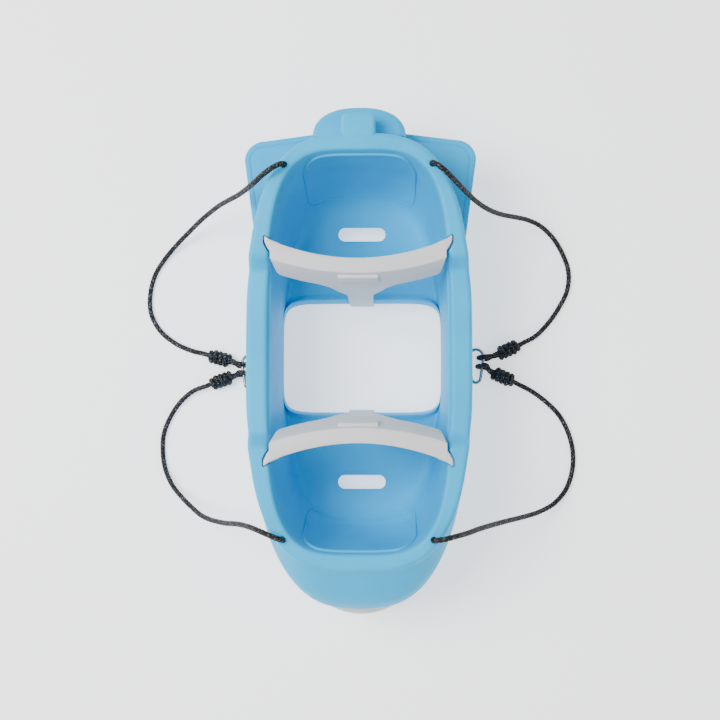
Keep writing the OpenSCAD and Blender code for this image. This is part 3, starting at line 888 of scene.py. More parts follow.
class HullSkin:
    """The moulding's skin as a formula over a row parameter and an angle.

    Each row is a superellipse at its own height. Side rows rise from the ground to the rim and
    over it; well rows go on down into the seats. Between the rows every size follows a monotone
    cubic over the length of the section.
    """

    def __init__(self, size: HullSize) -> None:
        """Args: size: The moulding's sizes."""
        self.size = s = size
        top, rim, well = s.rim_height, s.rim_power, s.well_power
        # height, half width, half length at the stern, at the bow, exponent, rail drop, out, up
        self.side = np.array([
            [0, s.rim_a - 26, s.stern_b - 36, s.bow_b - 56, 2.9, 0, -1, 0],
            [10, s.rim_a - 20, s.stern_b - 27, s.bow_b - 38, 2.9, 0, -1, 0],
            [55, s.rim_a - 11, s.stern_b - 11, s.bow_b - 13, 2.8, 0, -1, 0],
            [115, s.rim_a - 4, s.stern_b - 2, s.bow_b - 2, 2.75, 0.1, -1, 0],
            [160, s.rim_a - 1, s.stern_b, s.bow_b, 2.75, 0.3, -1, 0],
            [top - 66, s.rim_a, s.stern_b - 3, s.bow_b - 15, 2.78, 0.6, -1, -0.3],
            [top - 55, s.rim_a, s.stern_b - 4, s.bow_b - 24, 2.8, 0.7, -1, -0.5],
            [top - 28, s.rim_a, s.stern_b - 9, s.rim_b + 20, 2.95, 0.9, -1, -0.5],
            [top - 15, s.rim_a, s.rim_b + 1, s.rim_b + 3, 3.08, 0.98, -1, -0.5],
            [top - 10, s.rim_a, s.rim_b, s.rim_b, rim, 1, -1, -0.5],
            [top - 3, s.rim_a - 2.5, s.rim_b - 3, s.rim_b - 3, rim, 1, -0.7, -1],
            [top, s.rim_a - 9, s.rim_b - 9, s.rim_b - 9, rim, 1, 0, -1],
            [top, s.well_a + 8, s.well_b + 7, s.well_b + 7, well, 1, 0, -1],
            [top - 3, s.well_a + 2, s.well_b + 2, s.well_b + 2, well, 1, 0.7, -1],
            [top - s.rim_round, s.well_a, s.well_b, s.well_b, well, 1, 1, -0.5]])
        # share of the pan's drop, half width, half length, exponent, out, up behind the seat
        self.well = np.array([
            [0, s.well_a, s.well_b, well, 1, 0],
            [0.35, s.well_a - 1, s.well_b - 5, 3.8, 1, 0],
            [0.65, s.well_a - 2, s.well_b - 14, 3.4, 1, 0],
            [0.85, s.well_a - 2.6, s.well_b - 28, 3.0, 1, -0.3],
            [0.95, s.well_a - 3.0, s.well_b - 42, 2.8, 0.7, -0.8],
            [0.99, s.well_a - 3.3, s.well_b - 66, 2.7, 0.2, -1],
            [1, s.well_a - 3.6, (s.well_b + s.open_b) / 2, 3.2, 0, -1],
            [1, s.well_a - 3.9, s.open_b + 34, 5, 0, -1],
            [0.995, s.well_a - 4.2, s.open_b + 18, 6.5, 0.3, -1],
            [0.96, s.well_a - 4.4, s.open_b + 6, 7.3, 0.8, -0.7],
            [1 + (s.pan_height - s.lip_height) / (s.rim_height - s.pan_height),
             s.open_a, s.open_b, 7.6, 1, 0]])

    def drop_at(self, y: Array) -> Array:
        """How much lower the rails are at the distance y: a smooth step between two places."""
        s = self.size
        return s.rail_drop * (1 - smooth(np.abs(y), s.rail_end, s.rim_start))

    def side_surface(self, t: Array, angle: Array, inner: float) -> Array:
        """Points of the outer side and the rim.

        z = row height - drop share * drop_at(y), with the row moved by the wall on the inner skin.
        Beside the leg opening the rails bow out by the share ``rail_bulge`` of their distance.

        Args:
            t: Row numbers, from 0 to the last side row.
            angle: Superellipse angles.
            inner: 1 for the hidden skin, 0 for the visible one.

        Returns:
            Points of shape (len(t), len(angle), 3).
        """
        r = monotone(t, np.arange(len(self.side), dtype=float), self.side)[:, :, None]
        s = self.size
        w = inner * s.wall
        a = angle[None]
        b = np.where(np.sin(a) > 0, r[:, 2], r[:, 3])
        _, y0 = outline(a, r[:, 1], b, r[:, 4])
        x, y = outline(a, r[:, 1] + w * r[:, 6], b + w * r[:, 6], r[:, 4])
        z = r[:, 0] - r[:, 5] * self.drop_at(y0) + w * r[:, 7]
        x = x * (1 + s.rail_bulge * (1 - smooth(np.abs(y0), s.bulge_full, s.bulge_end)))
        return np.stack([x, y, z], -1)

    def well_surface(self, t: Array, angle: Array, inner: float) -> Array:
        """Points of the wells.

        Near the ends of the hull a row follows the backrest and the seat pan; along its sides it
        follows a plain wall from the rim down to the leg opening's edge, and between |sin| 0.34
        and 0.66 the one turns smoothly into the other.

        Args:
            t: Row numbers, from 0 to the last well row.
            angle: Superellipse angles.
            inner: 1 for the hidden skin, 0 for the visible one.

        Returns:
            Points of shape (len(t), len(angle), 3).
        """
        s = self.size
        r = monotone(t, np.arange(len(self.well), dtype=float), self.well)[:, :, None]
        a = angle[None]
        end = smooth(np.abs(np.sin(a)), 0.34, 0.66)
        w = inner * s.wall
        out = w * (1 + (r[:, 4] - 1) * end)
        _, y0 = outline(a, r[:, 1], r[:, 2], r[:, 3])
        x, y = outline(a, r[:, 1] + out, r[:, 2] + out, r[:, 3])
        last = len(self.well) - 1
        top = s.rim_height - s.rim_round - self.drop_at(y0)
        wall = top + (s.lip_height - top) * (t / last)[:, None]
        share = r[:, 0]
        fade = np.clip(1 - t / 2.2, 0, 1)[:, None]
        seat = (s.rim_height - (s.rim_height - s.pan_height) * share
                - s.rim_round * (1 - smooth(share, 0, 0.3)) - self.drop_at(y0) * fade)
        z = wall + (seat - wall) * end + w * r[:, 5] * end
        y = y + np.sign(y) * s.panel_sunk * self.backrest_panel(x, seat) * end
        return np.stack([x, y, z], -1)

    def backrest_panel(self, x: Array, z: Array) -> Array:
        """How far a backrest's panel is sunk there, from 0 to 1: a soft-edged rounded field."""
        s = self.size
        middle, tall = (s.panel_top + s.panel_low) / 2, (s.panel_top - s.panel_low) / 2
        reach = (np.abs(x) / s.panel_a) ** 4.5 + (np.abs(z - middle) / tall) ** 4.5
        return 1 - smooth(reach, 0.82, 1.0)


class Hull(Assembly):
    """The blue moulding with its tail, and the cuts through it."""

    columns = 504

    def __init__(self, finishes: Finishes, size: HullSize) -> None:
        """Args: finishes: The shared materials. size: The moulding's sizes."""
        super().__init__(finishes)
        self.size = size
        self.skin = HullSkin(size)

    def build(self) -> None:
        """Builds the moulding and its tail."""
        shell = self.shell()
        self.maker.cut(shell, self.cutters())
        self.dress(shell, self.finishes.hull, "root", "hull")
        for side in Side:
            self.wing(side)
        self.pod()
        self.block()
        for end in End:
            self.ridge(end)

    def shell(self) -> bpy.types.Object:
        """The moulding as one closed sheet: the visible skin and, a wall behind, the hidden one."""
        angle = 2 * np.pi * (np.arange(self.columns) + 0.5) / self.columns
        skin = self.skin
        rows_side = np.append(0, self.rows((0, 4, 13), (4, 7, 13), (7, 14, 43)))
        rows_well = self.rows((0, 2, 17), (2, 8, 31), (8, 10, 13))
        seen = np.vstack([skin.side_surface(rows_side, angle, 0),
                          skin.well_surface(rows_well, angle, 0)])
        hidden = np.vstack([skin.side_surface(np.arange(15.0), angle, 1),
                            skin.well_surface(np.linspace(1, 10, 19), angle, 1)])
        return self.maker.make("hull_shell", [Grid(np.vstack([seen, hidden[::-1]]), looped=True)])

    @staticmethod
    def rows(*stretches: tuple[float, float, int]) -> Array:
        """Row numbers after the first of each (first, last, count) stretch."""
        return np.concatenate([np.linspace(*stretch)[1:] for stretch in stretches])

    def cutters(self) -> list[bpy.types.Object]:
        """The solids that the drain slots, rope holes and ear pockets take out of the shell."""
        s = self.size
        made = []
        slot_r, hole_r = s.slot_width / 2, s.hole_diameter / 2
        for end in End:
            right = arc(s.slot_length / 2 - slot_r, 0, slot_r, slot_r, np.arange(-90, 91, 10))
            loop = np.vstack([right, -right]) + [0, end.value * s.slot_y]
            rings = prism(loop, s.pan_height - 30, s.pan_height + 0.4, 0.5, flare=3)
            made.append(self.maker.make(f"slot_cut_{end.label}", [Grid(rings)]))
            for side in Side:
                loop = arc(*s.hole_place(side, end), hole_r, hole_r, np.arange(0, 360, 9))
                rings = prism(loop, s.rim_height - 20, s.rim_height + 0.2, 0.5, flare=1.6)
                made.append(self.maker.make(f"hole_cut_{end.label}_{side.label}", [Grid(rings)]))
                made.append(self.ear_pocket(side, end))
        return made

    def ear_pocket(self, side: Side, end: End) -> bpy.types.Object:
        """The rounded pocket in the rim that one ear of a safety bar drops into."""
        s, bar = self.size, BarSize()
        e, x, f, t = bar.end, bar.ear_x, bar.ear_front, bar.ear_tip
        loop = rounded([(e - 20, f - 0.4, 0), (e + 3, f - 0.4, 2), (x - 3, f + 4, 5),
                        (x + 2, f + 15, 6), (x + 2, t, 1.5), (x - 1, t + 1.5, 1.5), (e, t - 4, 3),
                        (e - 20, t - 10, 0)])
        loop = loop * [side.value, end.value]
        if side.value * end.value < 0:
            loop = loop[::-1]
        rings = prism(loop, s.rim_height - 12, s.rim_height + 0.2, 1.0, flare=1.2)
        return self.maker.make(f"pocket_cut_{end.label}_{side.label}", [Grid(rings)])

    def wing(self, side: Side) -> bpy.types.Object:
        """A tail wing: a flat panel with a rounded edge and a groove that follows the edge.

        The section runs from inside the hull over the panel, down its edge and back below. It is
        swept along the edge, and its inner end follows the hull's side.
        """
        s, tail = self.size, TailSize()
        tip, end_y, r = tail.wing_span / 2, s.stern_b - 1, tail.wing_r
        corner = arc(tip - r, end_y - r, r, r, np.arange(0, 91, 6))
        start = np.array([[s.rim_a - 4, tail.wing_start - 2], [s.rim_a - 1, tail.wing_start + 6]])
        edge = resample(np.vstack([start, corner, [[85, s.stern_b + 11], [20, s.stern_b + 14]]]), 4)
        way = unit_rows(np.gradient(edge, axis=0))
        inward = np.stack([-way[:, 1], way[:, 0]], 1)
        k = np.linspace(0, 1, len(edge))
        root = np.stack(outline(np.radians(30 + 57 * k), s.rim_a - 6, s.stern_b - 7, 2.75), 1)
        high, low, groove = tail.wing_h, tail.wing_h - tail.wing_t, tail.groove_inset
        dip = [(5, 0), (2.2, 0), (1.2, 0.4), (0.5, 1.3), (-0.5, 1.3), (-1.2, 0.4), (-2.2, 0)]
        section = [(groove + d, high - depth) for d, depth in dip]
        section += edge_arc(4, high, 1, 6) + edge_arc(3, low, -1, 6)[::-1] + [(groove, low)]
        room = np.linalg.norm(edge - root, axis=1)[:, None]
        rows = [lifted(root, high)]
        rows += [lifted(edge + inward * np.minimum(d, room * 0.85), z) for d, z in section]
        rows.append(lifted(root, low))
        points = np.stack(rows, 1) * [side.value, 1, 1]
        return self.piece(f"tail_wing_{side.label}", [Grid(points)], self.finishes.hull)

    def pod(self) -> bpy.types.Object:
        """The rounded pod at the stern: half a superellipse in plan, soft at its top and bottom."""
        s, tail = self.size, TailSize()
        top, low, back = s.rim_height - tail.pod_below_rim, tail.pod_low, s.stern_b - 9
        angle = np.radians(np.arange(0, 181, 3))
        x, y = outline(angle, tail.pod_half, s.rim_b + tail.pod_reach - back, 2.35)
        loop = np.stack([x, y + back], 1)
        rings = edge_arc(12, low, -1, 10) + edge_arc(15, top, 1, 10)[::-1]
        rings += [(20, top + 1), (28, top + 2.5)]
        rows = []
        for d, z in rings:
            ring = inset(loop, d)
            ring[:, 1] = np.where(loop[:, 1] < back + 1, back, np.maximum(ring[:, 1], back))
            rows.append(lifted(ring, z))
        return self.piece("tail_pod", [Grid(np.stack(rows))], self.finishes.hull)

    def block(self) -> bpy.types.Object:
        """The raised block that carries the rim's line out over the pod, softly rounded."""
        s, tail = self.size, TailSize()
        half, top = tail.block_w / 2, s.rim_height + 2.4
        front, back = s.rim_b - tail.block_inward, s.rim_b + tail.block_outward
        middle, reach = (front + back) / 2, (back - front) / 2
        rings = [(0.0, top - 52.4)] + edge_arc(6, top, 1, 10)[::-1] + [(12, top + 0.2), (19, top + 0.2)]
        angle = np.radians(np.arange(0, 360, 4))
        rows = []
        for d, z in rings:
            x, y = outline(angle, half - d, reach - d, 5.5)
            slope = np.clip((y + reach) / (2 * reach), 0, 1)
            lean = 2.5 * slope**2 + 3.4 * (1 - smooth(y, -reach, 16 - reach))
            rows.append(np.stack([x, y + middle, z - lean * (z > s.rim_height - 40)], -1))
        return self.piece("rim_block", [Grid(np.stack(rows))], self.finishes.hull)

    def ridge(self, end: End) -> bpy.types.Object:
        """The rounded ridge around a backrest's panel, from the pan up, across and down again."""
        s = self.size
        top, low, quarter = s.panel_top, s.panel_low, np.arange(0, 91, 6)
        upper = arc(s.panel_a - 34, top - 70, 34, 70, quarter)
        lower = arc(s.panel_a - 26, low + 34, 26, -34, quarter)
        half = np.vstack([[[30, low]], lower[::-1], upper])
        path = resample(np.vstack([half, half[::-1] * [-1, 1]]), 3)
        y = self.backrest_y(path[:, 0], path[:, 1])
        curve = np.column_stack([path[:, 0], end.value * (y - 0.6), path[:, 1]])
        t = np.minimum(np.arange(len(curve)), np.arange(len(curve))[::-1]) / 14
        fade = np.clip(0.35 + 0.65 * smooth(path[:, 1], low + 10, top - 20), 0, 1)
        grid = tube(curve, s.ridge_r * fade * np.clip(t, 0.1, 1), 14, (0, 1, 0))
        return self.piece(f"backrest_ridge_{end.label}", [grid], self.finishes.hull)

    def backrest_y(self, x: Array, z: Array) -> Array:
        """The backrest's distance from the middle at a width and a height.

        The skin is read on a fine grid, and each point takes the mean of the four grid points
        nearest to it, weighted by 1 / distance^2.
        """
        rows, angle = np.linspace(0, 6, 181), np.radians(np.linspace(50, 130, 321))
        skin = self.skin.well_surface(rows, angle, 0).reshape(-1, 3)
        apart = (skin[:, 0][None] - x[:, None]) ** 2 + (skin[:, 2][None] - z[:, None]) ** 2
        near = np.argpartition(apart, 4, axis=1)[:, :4]
        weight = 1 / (np.take_along_axis(apart, near, 1) + 0.01)
        return (skin[near, 1] * weight).sum(1) / weight.sum(1)


@dataclass
class TailSize:
    """Sizes of the tail, in millimetres."""

    wing_span: float = 422
    wing_t: float = 14
    wing_h: float = 158
    wing_start: float = 206
    wing_r: float = 36
    groove_inset: float = 11
    pod_half: float = 83
    pod_reach: float = 59
    pod_low: float = 66
    pod_below_rim: float = 48
    block_w: float = 59
    block_inward: float = 14
    block_outward: float = 34


# --- nose cap -----------------------------------------------------------------------------------


@dataclass
class NoseSize:
    """Sizes of the nose cap, in millimetres."""

    radius: float = 64
    bulge: float = 19
    height: float = 84
    groove_inset: float = 9
    groove_w: float = 3.2
    groove_depth: float = 1
    edge_drop: float = 1.2
    sides: int = 96


class NoseCap(Assembly):
    """The domed cap on the bow."""

    def __init__(self, finishes: Finishes, hull: HullSize, size: NoseSize) -> None:
        """Args: finishes: The materials. hull: The moulding's sizes. size: The cap's sizes."""
        super().__init__(finishes)
        self.hull, self.size = hull, size

    def place(self, points: Array) -> Array:
        """Own frame, dome along +z, to the bow, dome along -Y."""
        seat, height = self.hull.bow_b + 1.5, self.size.height
        return np.stack([points[..., 0], -seat - points[..., 2], height + points[..., 1]], -1)

    def build(self) -> None:
        """Builds the cap and the round seat behind it."""
        n = self.size
        ball = (n.radius**2 + n.bulge**2) / (2 * n.bulge)
        r = n.radius * np.linspace(0, 1, 40) ** 0.8
        dome = np.sqrt(ball**2 - r**2) - ball + n.bulge
        dome = dome - bump(r, n.radius - n.groove_inset, n.groove_w / 2) * n.groove_depth
        dome = dome - n.edge_drop * (r / n.radius) ** 14
        profile = [(x, z) for x, z in zip(r, dome)] + [(n.radius, -0.9), (n.radius - 1, -1.0)]
        profile += [(n.radius - 4, 0.2), (0, 0.2)]
        self.piece("nose_cap_shell", [lathe(profile, n.sides, self.place)], self.finishes.cap,
                   "nose_cap")
        seat = [(0, -17), (60, -17), (65, -16), (66, -14), (66, -2.4), (65.4, -1), (64, -0.3),
                (0, -0.3)]
        self.piece("nose_seat", [lathe(seat, n.sides, self.place)], self.finishes.hull)


# --- safety bars ----------------------------------------------------------------------------------


@dataclass
class BarSize:
    """Sizes of a safety bar, in millimetres."""

    y: float = 132
    thickness: float = 27
    depth: float = 50
    slope: float = 20
    sweep: float = 25
    proud: float = 5
    stem_w: float = 46
    stem_t: float = 14
    edge_r: float = 2.6
    flare_drop: float = 74
    flare_out: float = 30
    flare_r: float = 70
    shoulder_r: float = 34
    ear_forward: float = 38
    ear_length: float = 27
    ear_bite: float = 11
    clearance: float = 1.5
    hull: HullSize = field(default_factory=HullSize)

    def well_at(self, y: float) -> float:
        """Half width of the well at the distance y from the middle."""
        hull = self.hull
        return float(half_width(y, hull.well_a, hull.well_b, hull.well_power))

    @property
    def ear_front(self) -> float:
        """Distance of the ears' front from the middle."""
        return self.y + self.ear_forward

    @property
    def ear_tip(self) -> float:
        """Distance of the ears' tips from the middle."""
        return self.ear_front + self.ear_length

    @property
    def ear_x(self) -> float:
        """Half width over the ears."""
        return self.well_at(self.ear_tip) + self.ear_bite

    @property
    def end(self) -> float:
        """Half width of the crossbar."""
        return self.well_at(self.ear_front) - self.clearance

    @property
    def top(self) -> float:
        """Height of the crossbar's top."""
        return self.hull.rim_height + self.proud

    @property
    def low(self) -> float:
        """Height of the crossbar's lower edge."""
        return self.top - self.depth


class SafetyBar(Assembly):
    """A T-shaped bar: swept crossbar, two hooked ears, a stem and a grip pad."""

    def __init__(self, finishes: Finishes, size: BarSize, end: End) -> None:
        """Args: finishes: The materials. size: The bar's sizes. end: Which seat it closes."""
        super().__init__(finishes)
        self.size, self.end = size, end
        self.body = f"t_bar_{end.label}"

    def build(self) -> None:
        """Builds the pieces of the bar."""
        pieces = [("body", self.bar_body()), ("grip", self.grip())]
        pieces += [(f"ear_{side.label}", self.ear(side)) for side in Side]
        for name, grid in pieces:
            grid.points = grid.points * [1, self.end.value, 1]
            nodes = (self.body,) if name == "body" else ()
            self.piece(f"{self.body}_{name}", [grid], self.finishes.bar, *nodes, body=self.body)

    def front_outline(self) -> Array:
        """The bar seen from the leg opening, (x, z) anticlockwise: crossbar, fillets and stem."""
        s = self.size
        half, low, foot = s.stem_w / 2, s.low, s.hull.lip_height - 9
        right = [(half, foot, 6), (half, low - s.flare_drop, s.flare_r),
                 (half + s.flare_out, low + 0.6, s.shoulder_r),
                 (s.end - 8, low + 2.5, 11), (s.end, s.top, 1.5)]
        left = [(-x, z, r) for x, z, r in right[::-1]]
        return rounded(right + left, 7)

    def face(self, x: Array, z: Array) -> Array:
        """How far the front face lies from the middle.

        On the crossbar it is y + sweep (x / half width)^2 - slope (top - z) / depth. Below, it
        leans in to the leg opening's edge, and the sweep fades out over the fillets.
        """
        s = self.size
        foot_y, foot_z, fade = s.hull.open_b - 5, 64.0, 26.0
        sweep = s.sweep * (x / s.end) ** 2 * np.clip((z - s.low + fade) / fade, 0, 1)
        over = s.y - s.slope * np.minimum((s.top - z) / s.depth, 1)
        under = (over - foot_y) * np.clip((z - foot_z) / (s.low - foot_z), 0, 1) + foot_y
        return np.where(z >= s.low, over, under) + sweep

    def back(self, x: Array, z: Array) -> Array:
        """How far the rear face lies from the middle: thick in the crossbar, thin in the stem.

        The stem's foot is cut back over the seat's lip, and a plate in front of it goes on down.
        """
        s = self.size
        thick = s.thickness + 6 * (x / s.end) ** 2
        share = smooth(z, s.low - 8, s.low + 8)
        rear = self.face(x, z) + s.stem_t + (thick - s.stem_t) * share
        foot_top = 70
        lip = s.hull.open_b + np.interp(z, [0, 25, 54, 55, foot_top], [-0.7, -0.7, 5, 9, 20])
        return np.where(z < foot_top, np.minimum(rear, lip), rear)

    def bar_body(self) -> Grid:
        """Crossbar and stem as one skin.

        Each row runs across the front at one height and back across the rear. A point at the
        distance d from the outline is drawn in by r - sqrt(r^2 - (r - d)^2), which rounds every
        edge with the radius r.
        """
        s = self.size
        loop = self.front_outline()
        right = loop[loop[:, 0] > 0]
        right = right[np.argsort(-right[:, 1], kind="stable")]
        near_top = np.linspace([s.end, s.top], [s.end - 0.6, s.top - 4], 9)
        below = s.top - 4.2
        rest = resample(right[right[:, 1] < below], 2.2)
        path = np.vstack([near_top, rest[rest[:, 1] < below]])
        across = -np.cos(np.linspace(0, np.pi, 81))
        x = path[:, :1] * across
        z = np.broadcast_to(path[:, 1:], x.shape)
        dense = resample(np.vstack([loop, loop[:1]]), 1.5)
        flat = np.stack([x.ravel(), z.ravel()], 1)
        a, b = dense[:-1], dense[1:]
        k = np.clip(((flat[:, None] - a) * (b - a)).sum(-1) / ((b - a) ** 2).sum(-1), 0, 1)
        gap = np.linalg.norm(flat[:, None] - a - k[..., None] * (b - a), axis=-1).min(1)
        r = s.edge_r
        draw = (r - np.sqrt(np.maximum(r * r - (r - np.minimum(gap, r)) ** 2, 0))).reshape(x.shape)
        front, back = self.face(x, z) + draw, self.back(x, z) - draw
        back = np.maximum(back, front + 0.2)
        return Grid(np.concatenate([np.stack([x, front, z], -1),
                                    np.stack([x, back, z], -1)[:, ::-1]], 1))

    def grip(self) -> Grid:
        """The raised pad under the crossbar's front top edge."""
        s = self.size
        loop = rounded([(-35, s.top - 24, 3), (35, s.top - 24, 3), (35, s.top - 8, 3),
                        (-35, s.top - 8, 3)])
        rings = prism(loop, 0, 9, 2.0)
        y = self.face(rings[..., 0], rings[..., 1]) + 3.4 - rings[..., 2]
        return Grid(np.stack([rings[..., 0], y, rings[..., 1]], -1))

    def ear(self, side: Side) -> Grid:
        """A hooked ear that drops into its pocket in the rim."""
        s = self.size
        e, x = s.end, s.ear_x
        f, t = s.ear_front, s.ear_tip
        loop = rounded([(e - 16, f, 0), (e, f, 3), (x - 6, f + 6, 5), (x - 1, f + 16, 6),
                        (x, t - 3, 2), (x - 1.5, t, 1.2), (e, t - 6.5, 6), (e - 16, t - 13, 0)])
        rings = prism(loop, s.hull.rim_height - 11.5, s.top - 0.6, 2.2)
        return Grid(rings * [side.value, 1, 1])


# --- ropes ----------------------------------------------------------------------------------------


@dataclass
class RopeSize:
    """Sizes of a rope, its knots and its eye, in millimetres."""

    diameter: float = 9
    strands: int = 4
    pitch: float = 34
    barrel: float = 28
    wraps: int = 4
    spread: float = 4.6
    sunk: float = 1.05
    relief: float = 2.0
    crown: float = 0.45
    swing: float = 0.3
    flank: float = 0.85
    wound: float = 9.4
    core: float = 14
    stopper_turns: int = 3
    stopper_r: float = 3.4
    stopper_rope: float = 7


class Braid:
    """A round braid: two families of strands that pass over and under each other."""

    def __init__(self, size: RopeSize, sides: int = 32) -> None:
        """Args: size: The rope. sides: Points around."""
        self.size, self.sides = size, sides

    def radius(self, along: Array) -> Array:
        """The braid's radius at each length and angle.

        u = m a / 2 pi + m s / P and v = m a / 2 pi - m s / P number the m strands of each of
        the two families, P being the pitch. A strand's section is a round arc over its width,
        and its level swings with sin(pi v) or sin(pi u), one family up where the other is down.
        The higher one shows.

        Args:
            along: Lengths along the rope.

        Returns:
            Radii of shape (len(along), sides).
        """
        s = self.size
        turn = s.strands * (np.arange(self.sides) / self.sides)[None]
        run = s.strands * (along / s.pitch)[:, None]
        u, v = turn + run, turn - run
        level = np.maximum(self.level(u, v, 1), self.level(v, u, -1))
        return s.diameter / 2 - s.sunk + s.relief * level

    def level(self, own: Array, other: Array, sign: int) -> Array:
        """How high one family's strands lie over the core, where ``own`` numbers its strands.

        Args:
            own: Strand numbers of the family.
            other: Strand numbers of the family that crosses it.
            sign: 1 or -1, one for each family.

        Returns:
            The level of each point, from about -0.1 to 0.75.
        """
        s = self.size
        section = np.sqrt(1 - (2 * (own % 1) - 1) ** 2 * s.flank)
        odd = 1 - 2 * (np.floor(own) % 2)
        return s.crown * section + sign * s.swing * odd * np.sin(np.pi * other)

    def grid(self, curve: Array, start: Sequence[float]) -> Grid:
        """A braided tube along a curve, its ends drawn in over a millimetre."""
        along = lengths_along(curve)
        edge = np.minimum(along, along[-1] - along)
        r = self.radius(along) * np.sqrt(np.clip(0.3 + edge / 1.5, 0, 1))[:, None]
        return tube(curve, r, self.sides, start)


class SuspensionRope(Assembly):
    """One rope: out of its hole, down to the ground, a barrel knot and an eye on the hook."""

    routes = {
        (End.STERN, Side.LEFT): [
            (-128, 321, 264), (-128, 321, 275), (-132, 319, 284), (-142, 313, 290), (-159, 303, 285),
            (-182, 291, 258), (-201, 286, 224), (-220, 283, 190), (-241, 281, 157), (-262, 278, 125),
            (-284, 271, 94), (-308, 260, 65), (-332, 245, 39), (-358, 225, 20), (-384, 199, 8),
            (-405, 167, 5), (-415, 130, 5), (-414, 91, 5), (-397, 57, 5), (-368, 32, 7),
            (-334, 16, 11), (-306, 9, 14)],
        (End.BOW, Side.LEFT): [
            (-128, -321, 264), (-128, -321, 275), (-132, -319, 284), (-143, -314, 290),
            (-161, -307, 285), (-185, -301, 259), (-203, -300, 229), (-221, -301, 198),
            (-240, -303, 168), (-259, -303, 138), (-280, -301, 109), (-301, -295, 82),
            (-322, -283, 56), (-344, -267, 34), (-366, -245, 17), (-382, -215, 7), (-388, -180, 5),
            (-386, -145, 5), (-373, -112, 5), (-353, -83, 7), (-327, -62, 11), (-302, -53, 14)],
        (End.STERN, Side.RIGHT): [
            (128, 321, 264), (128, 321, 275), (131, 318, 284), (139, 312, 290), (153, 301, 285),
            (173, 287, 259), (190, 278, 227), (207, 270, 195), (226, 264, 164), (246, 261, 133),
            (267, 261, 103), (291, 262, 75), (317, 261, 49), (343, 253, 28), (369, 232, 12),
            (388, 202, 5), (399, 167, 5), (396, 131, 5), (380, 98, 5), (359, 68, 7), (333, 42, 11),
            (309, 29, 14)],
        (End.BOW, Side.RIGHT): [
            (128, -321, 264), (128, -321, 275), (132, -320, 284), (143, -318, 290), (161, -314, 285),
            (186, -310, 259), (205, -307, 226), (224, -305, 193), (244, -303, 161), (265, -301, 130),
            (287, -299, 100), (311, -296, 71), (337, -290, 45), (365, -277, 24), (389, -252, 10),
            (402, -218, 5), (404, -181, 5), (396, -145, 5), (379, -111, 5), (353, -84, 7),
            (324, -63, 11), (299, -50, 14)],
    }
    knots = {
        (End.STERN, Side.LEFT): ((-296, 6, 14), (-257, -5, 14)),
        (End.BOW, Side.LEFT): ((-292, -49, 14), (-254, -36, 14)),
        (End.STERN, Side.RIGHT): ((299, 24, 14), (262, 8, 14)),
        (End.BOW, Side.RIGHT): ((289, -45, 14), (252, -28, 14)),
    }
    wire_y = {(End.STERN, Side.LEFT): -12, (End.BOW, Side.LEFT): -29,
              (End.STERN, Side.RIGHT): 1, (End.BOW, Side.RIGHT): -16}

    def __init__(self, finishes: Finishes, size: RopeSize, hook: "HookSize", end: End,
                 side: Side) -> None:
        """Args: finishes: The materials. size, hook: Sizes. end, side: Which rope it is."""
        super().__init__(finishes)
        self.size, self.hook, self.end, self.side = size, hook, end, side
        self.key = (end, side)
        self.label = f"{end.label}_{side.label}"
        self.a, self.b = (np.array(p, float) for p in self.knots[self.key])
        self.along = (self.b - self.a) / np.linalg.norm(self.b - self.a)

    def build(self) -> None:
        curve = self.centreline()
        rope = self.roped("rope_body", [Braid(self.size).grid(curve, (1, 0, 0))], "rope")
        pieces = [self.stopper(), self.barrel(), self.eye()]
        shown = (curve + self.maker.shift) * MM
        length = float(lengths_along(curve)[-1])
        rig.cord(rope, exit=shown[0], length=length * MM, diameter=self.size.diameter * MM,
                far_end="knot", stiffness="limp", lay="loose", path=shown[::4], with_pieces=pieces)
        LOG.info("rope %s: %.0f mm long", self.label, length)

    def roped(self, name: str, grids: Sequence[Grid], node: str) -> bpy.types.Object:
        """A piece of this rope: its name and the CAD node's name end in the rope's label."""
        return self.piece(f"{name}_{self.label}", grids, self.finishes.rope, f"{node}_{self.label}",
                          sharp=self.maker.soft)

    def centreline(self) -> Array:
        """The rope's own line, from under the rim to its barrel knot."""
        route = list(self.routes[self.key]) + [self.a - 5 * self.along, self.a + 2 * self.along]
        return spline(route, 1.0)

    def stopper(self) -> bpy.types.Object:
        """The stopper knot under the rim, as tight turns of the rope about its line."""
        s, (x, y, start) = self.size, self.routes[self.key][0]
        t = np.linspace(0, 1, 120)
        a = 2 * np.pi * s.stopper_turns * t
        r = s.stopper_r * np.minimum(1, 8 * np.minimum(t, 1 - t) + 0.15)
        curve = np.stack([x + r * np.cos(a), y + r * np.sin(a), start - 4 - 15 * t], 1)
        grid = tube(curve, np.full(len(curve), s.stopper_rope / 2), 12, (0, 0, 1))
        return self.roped("stopper", [grid], "stopper_knot")

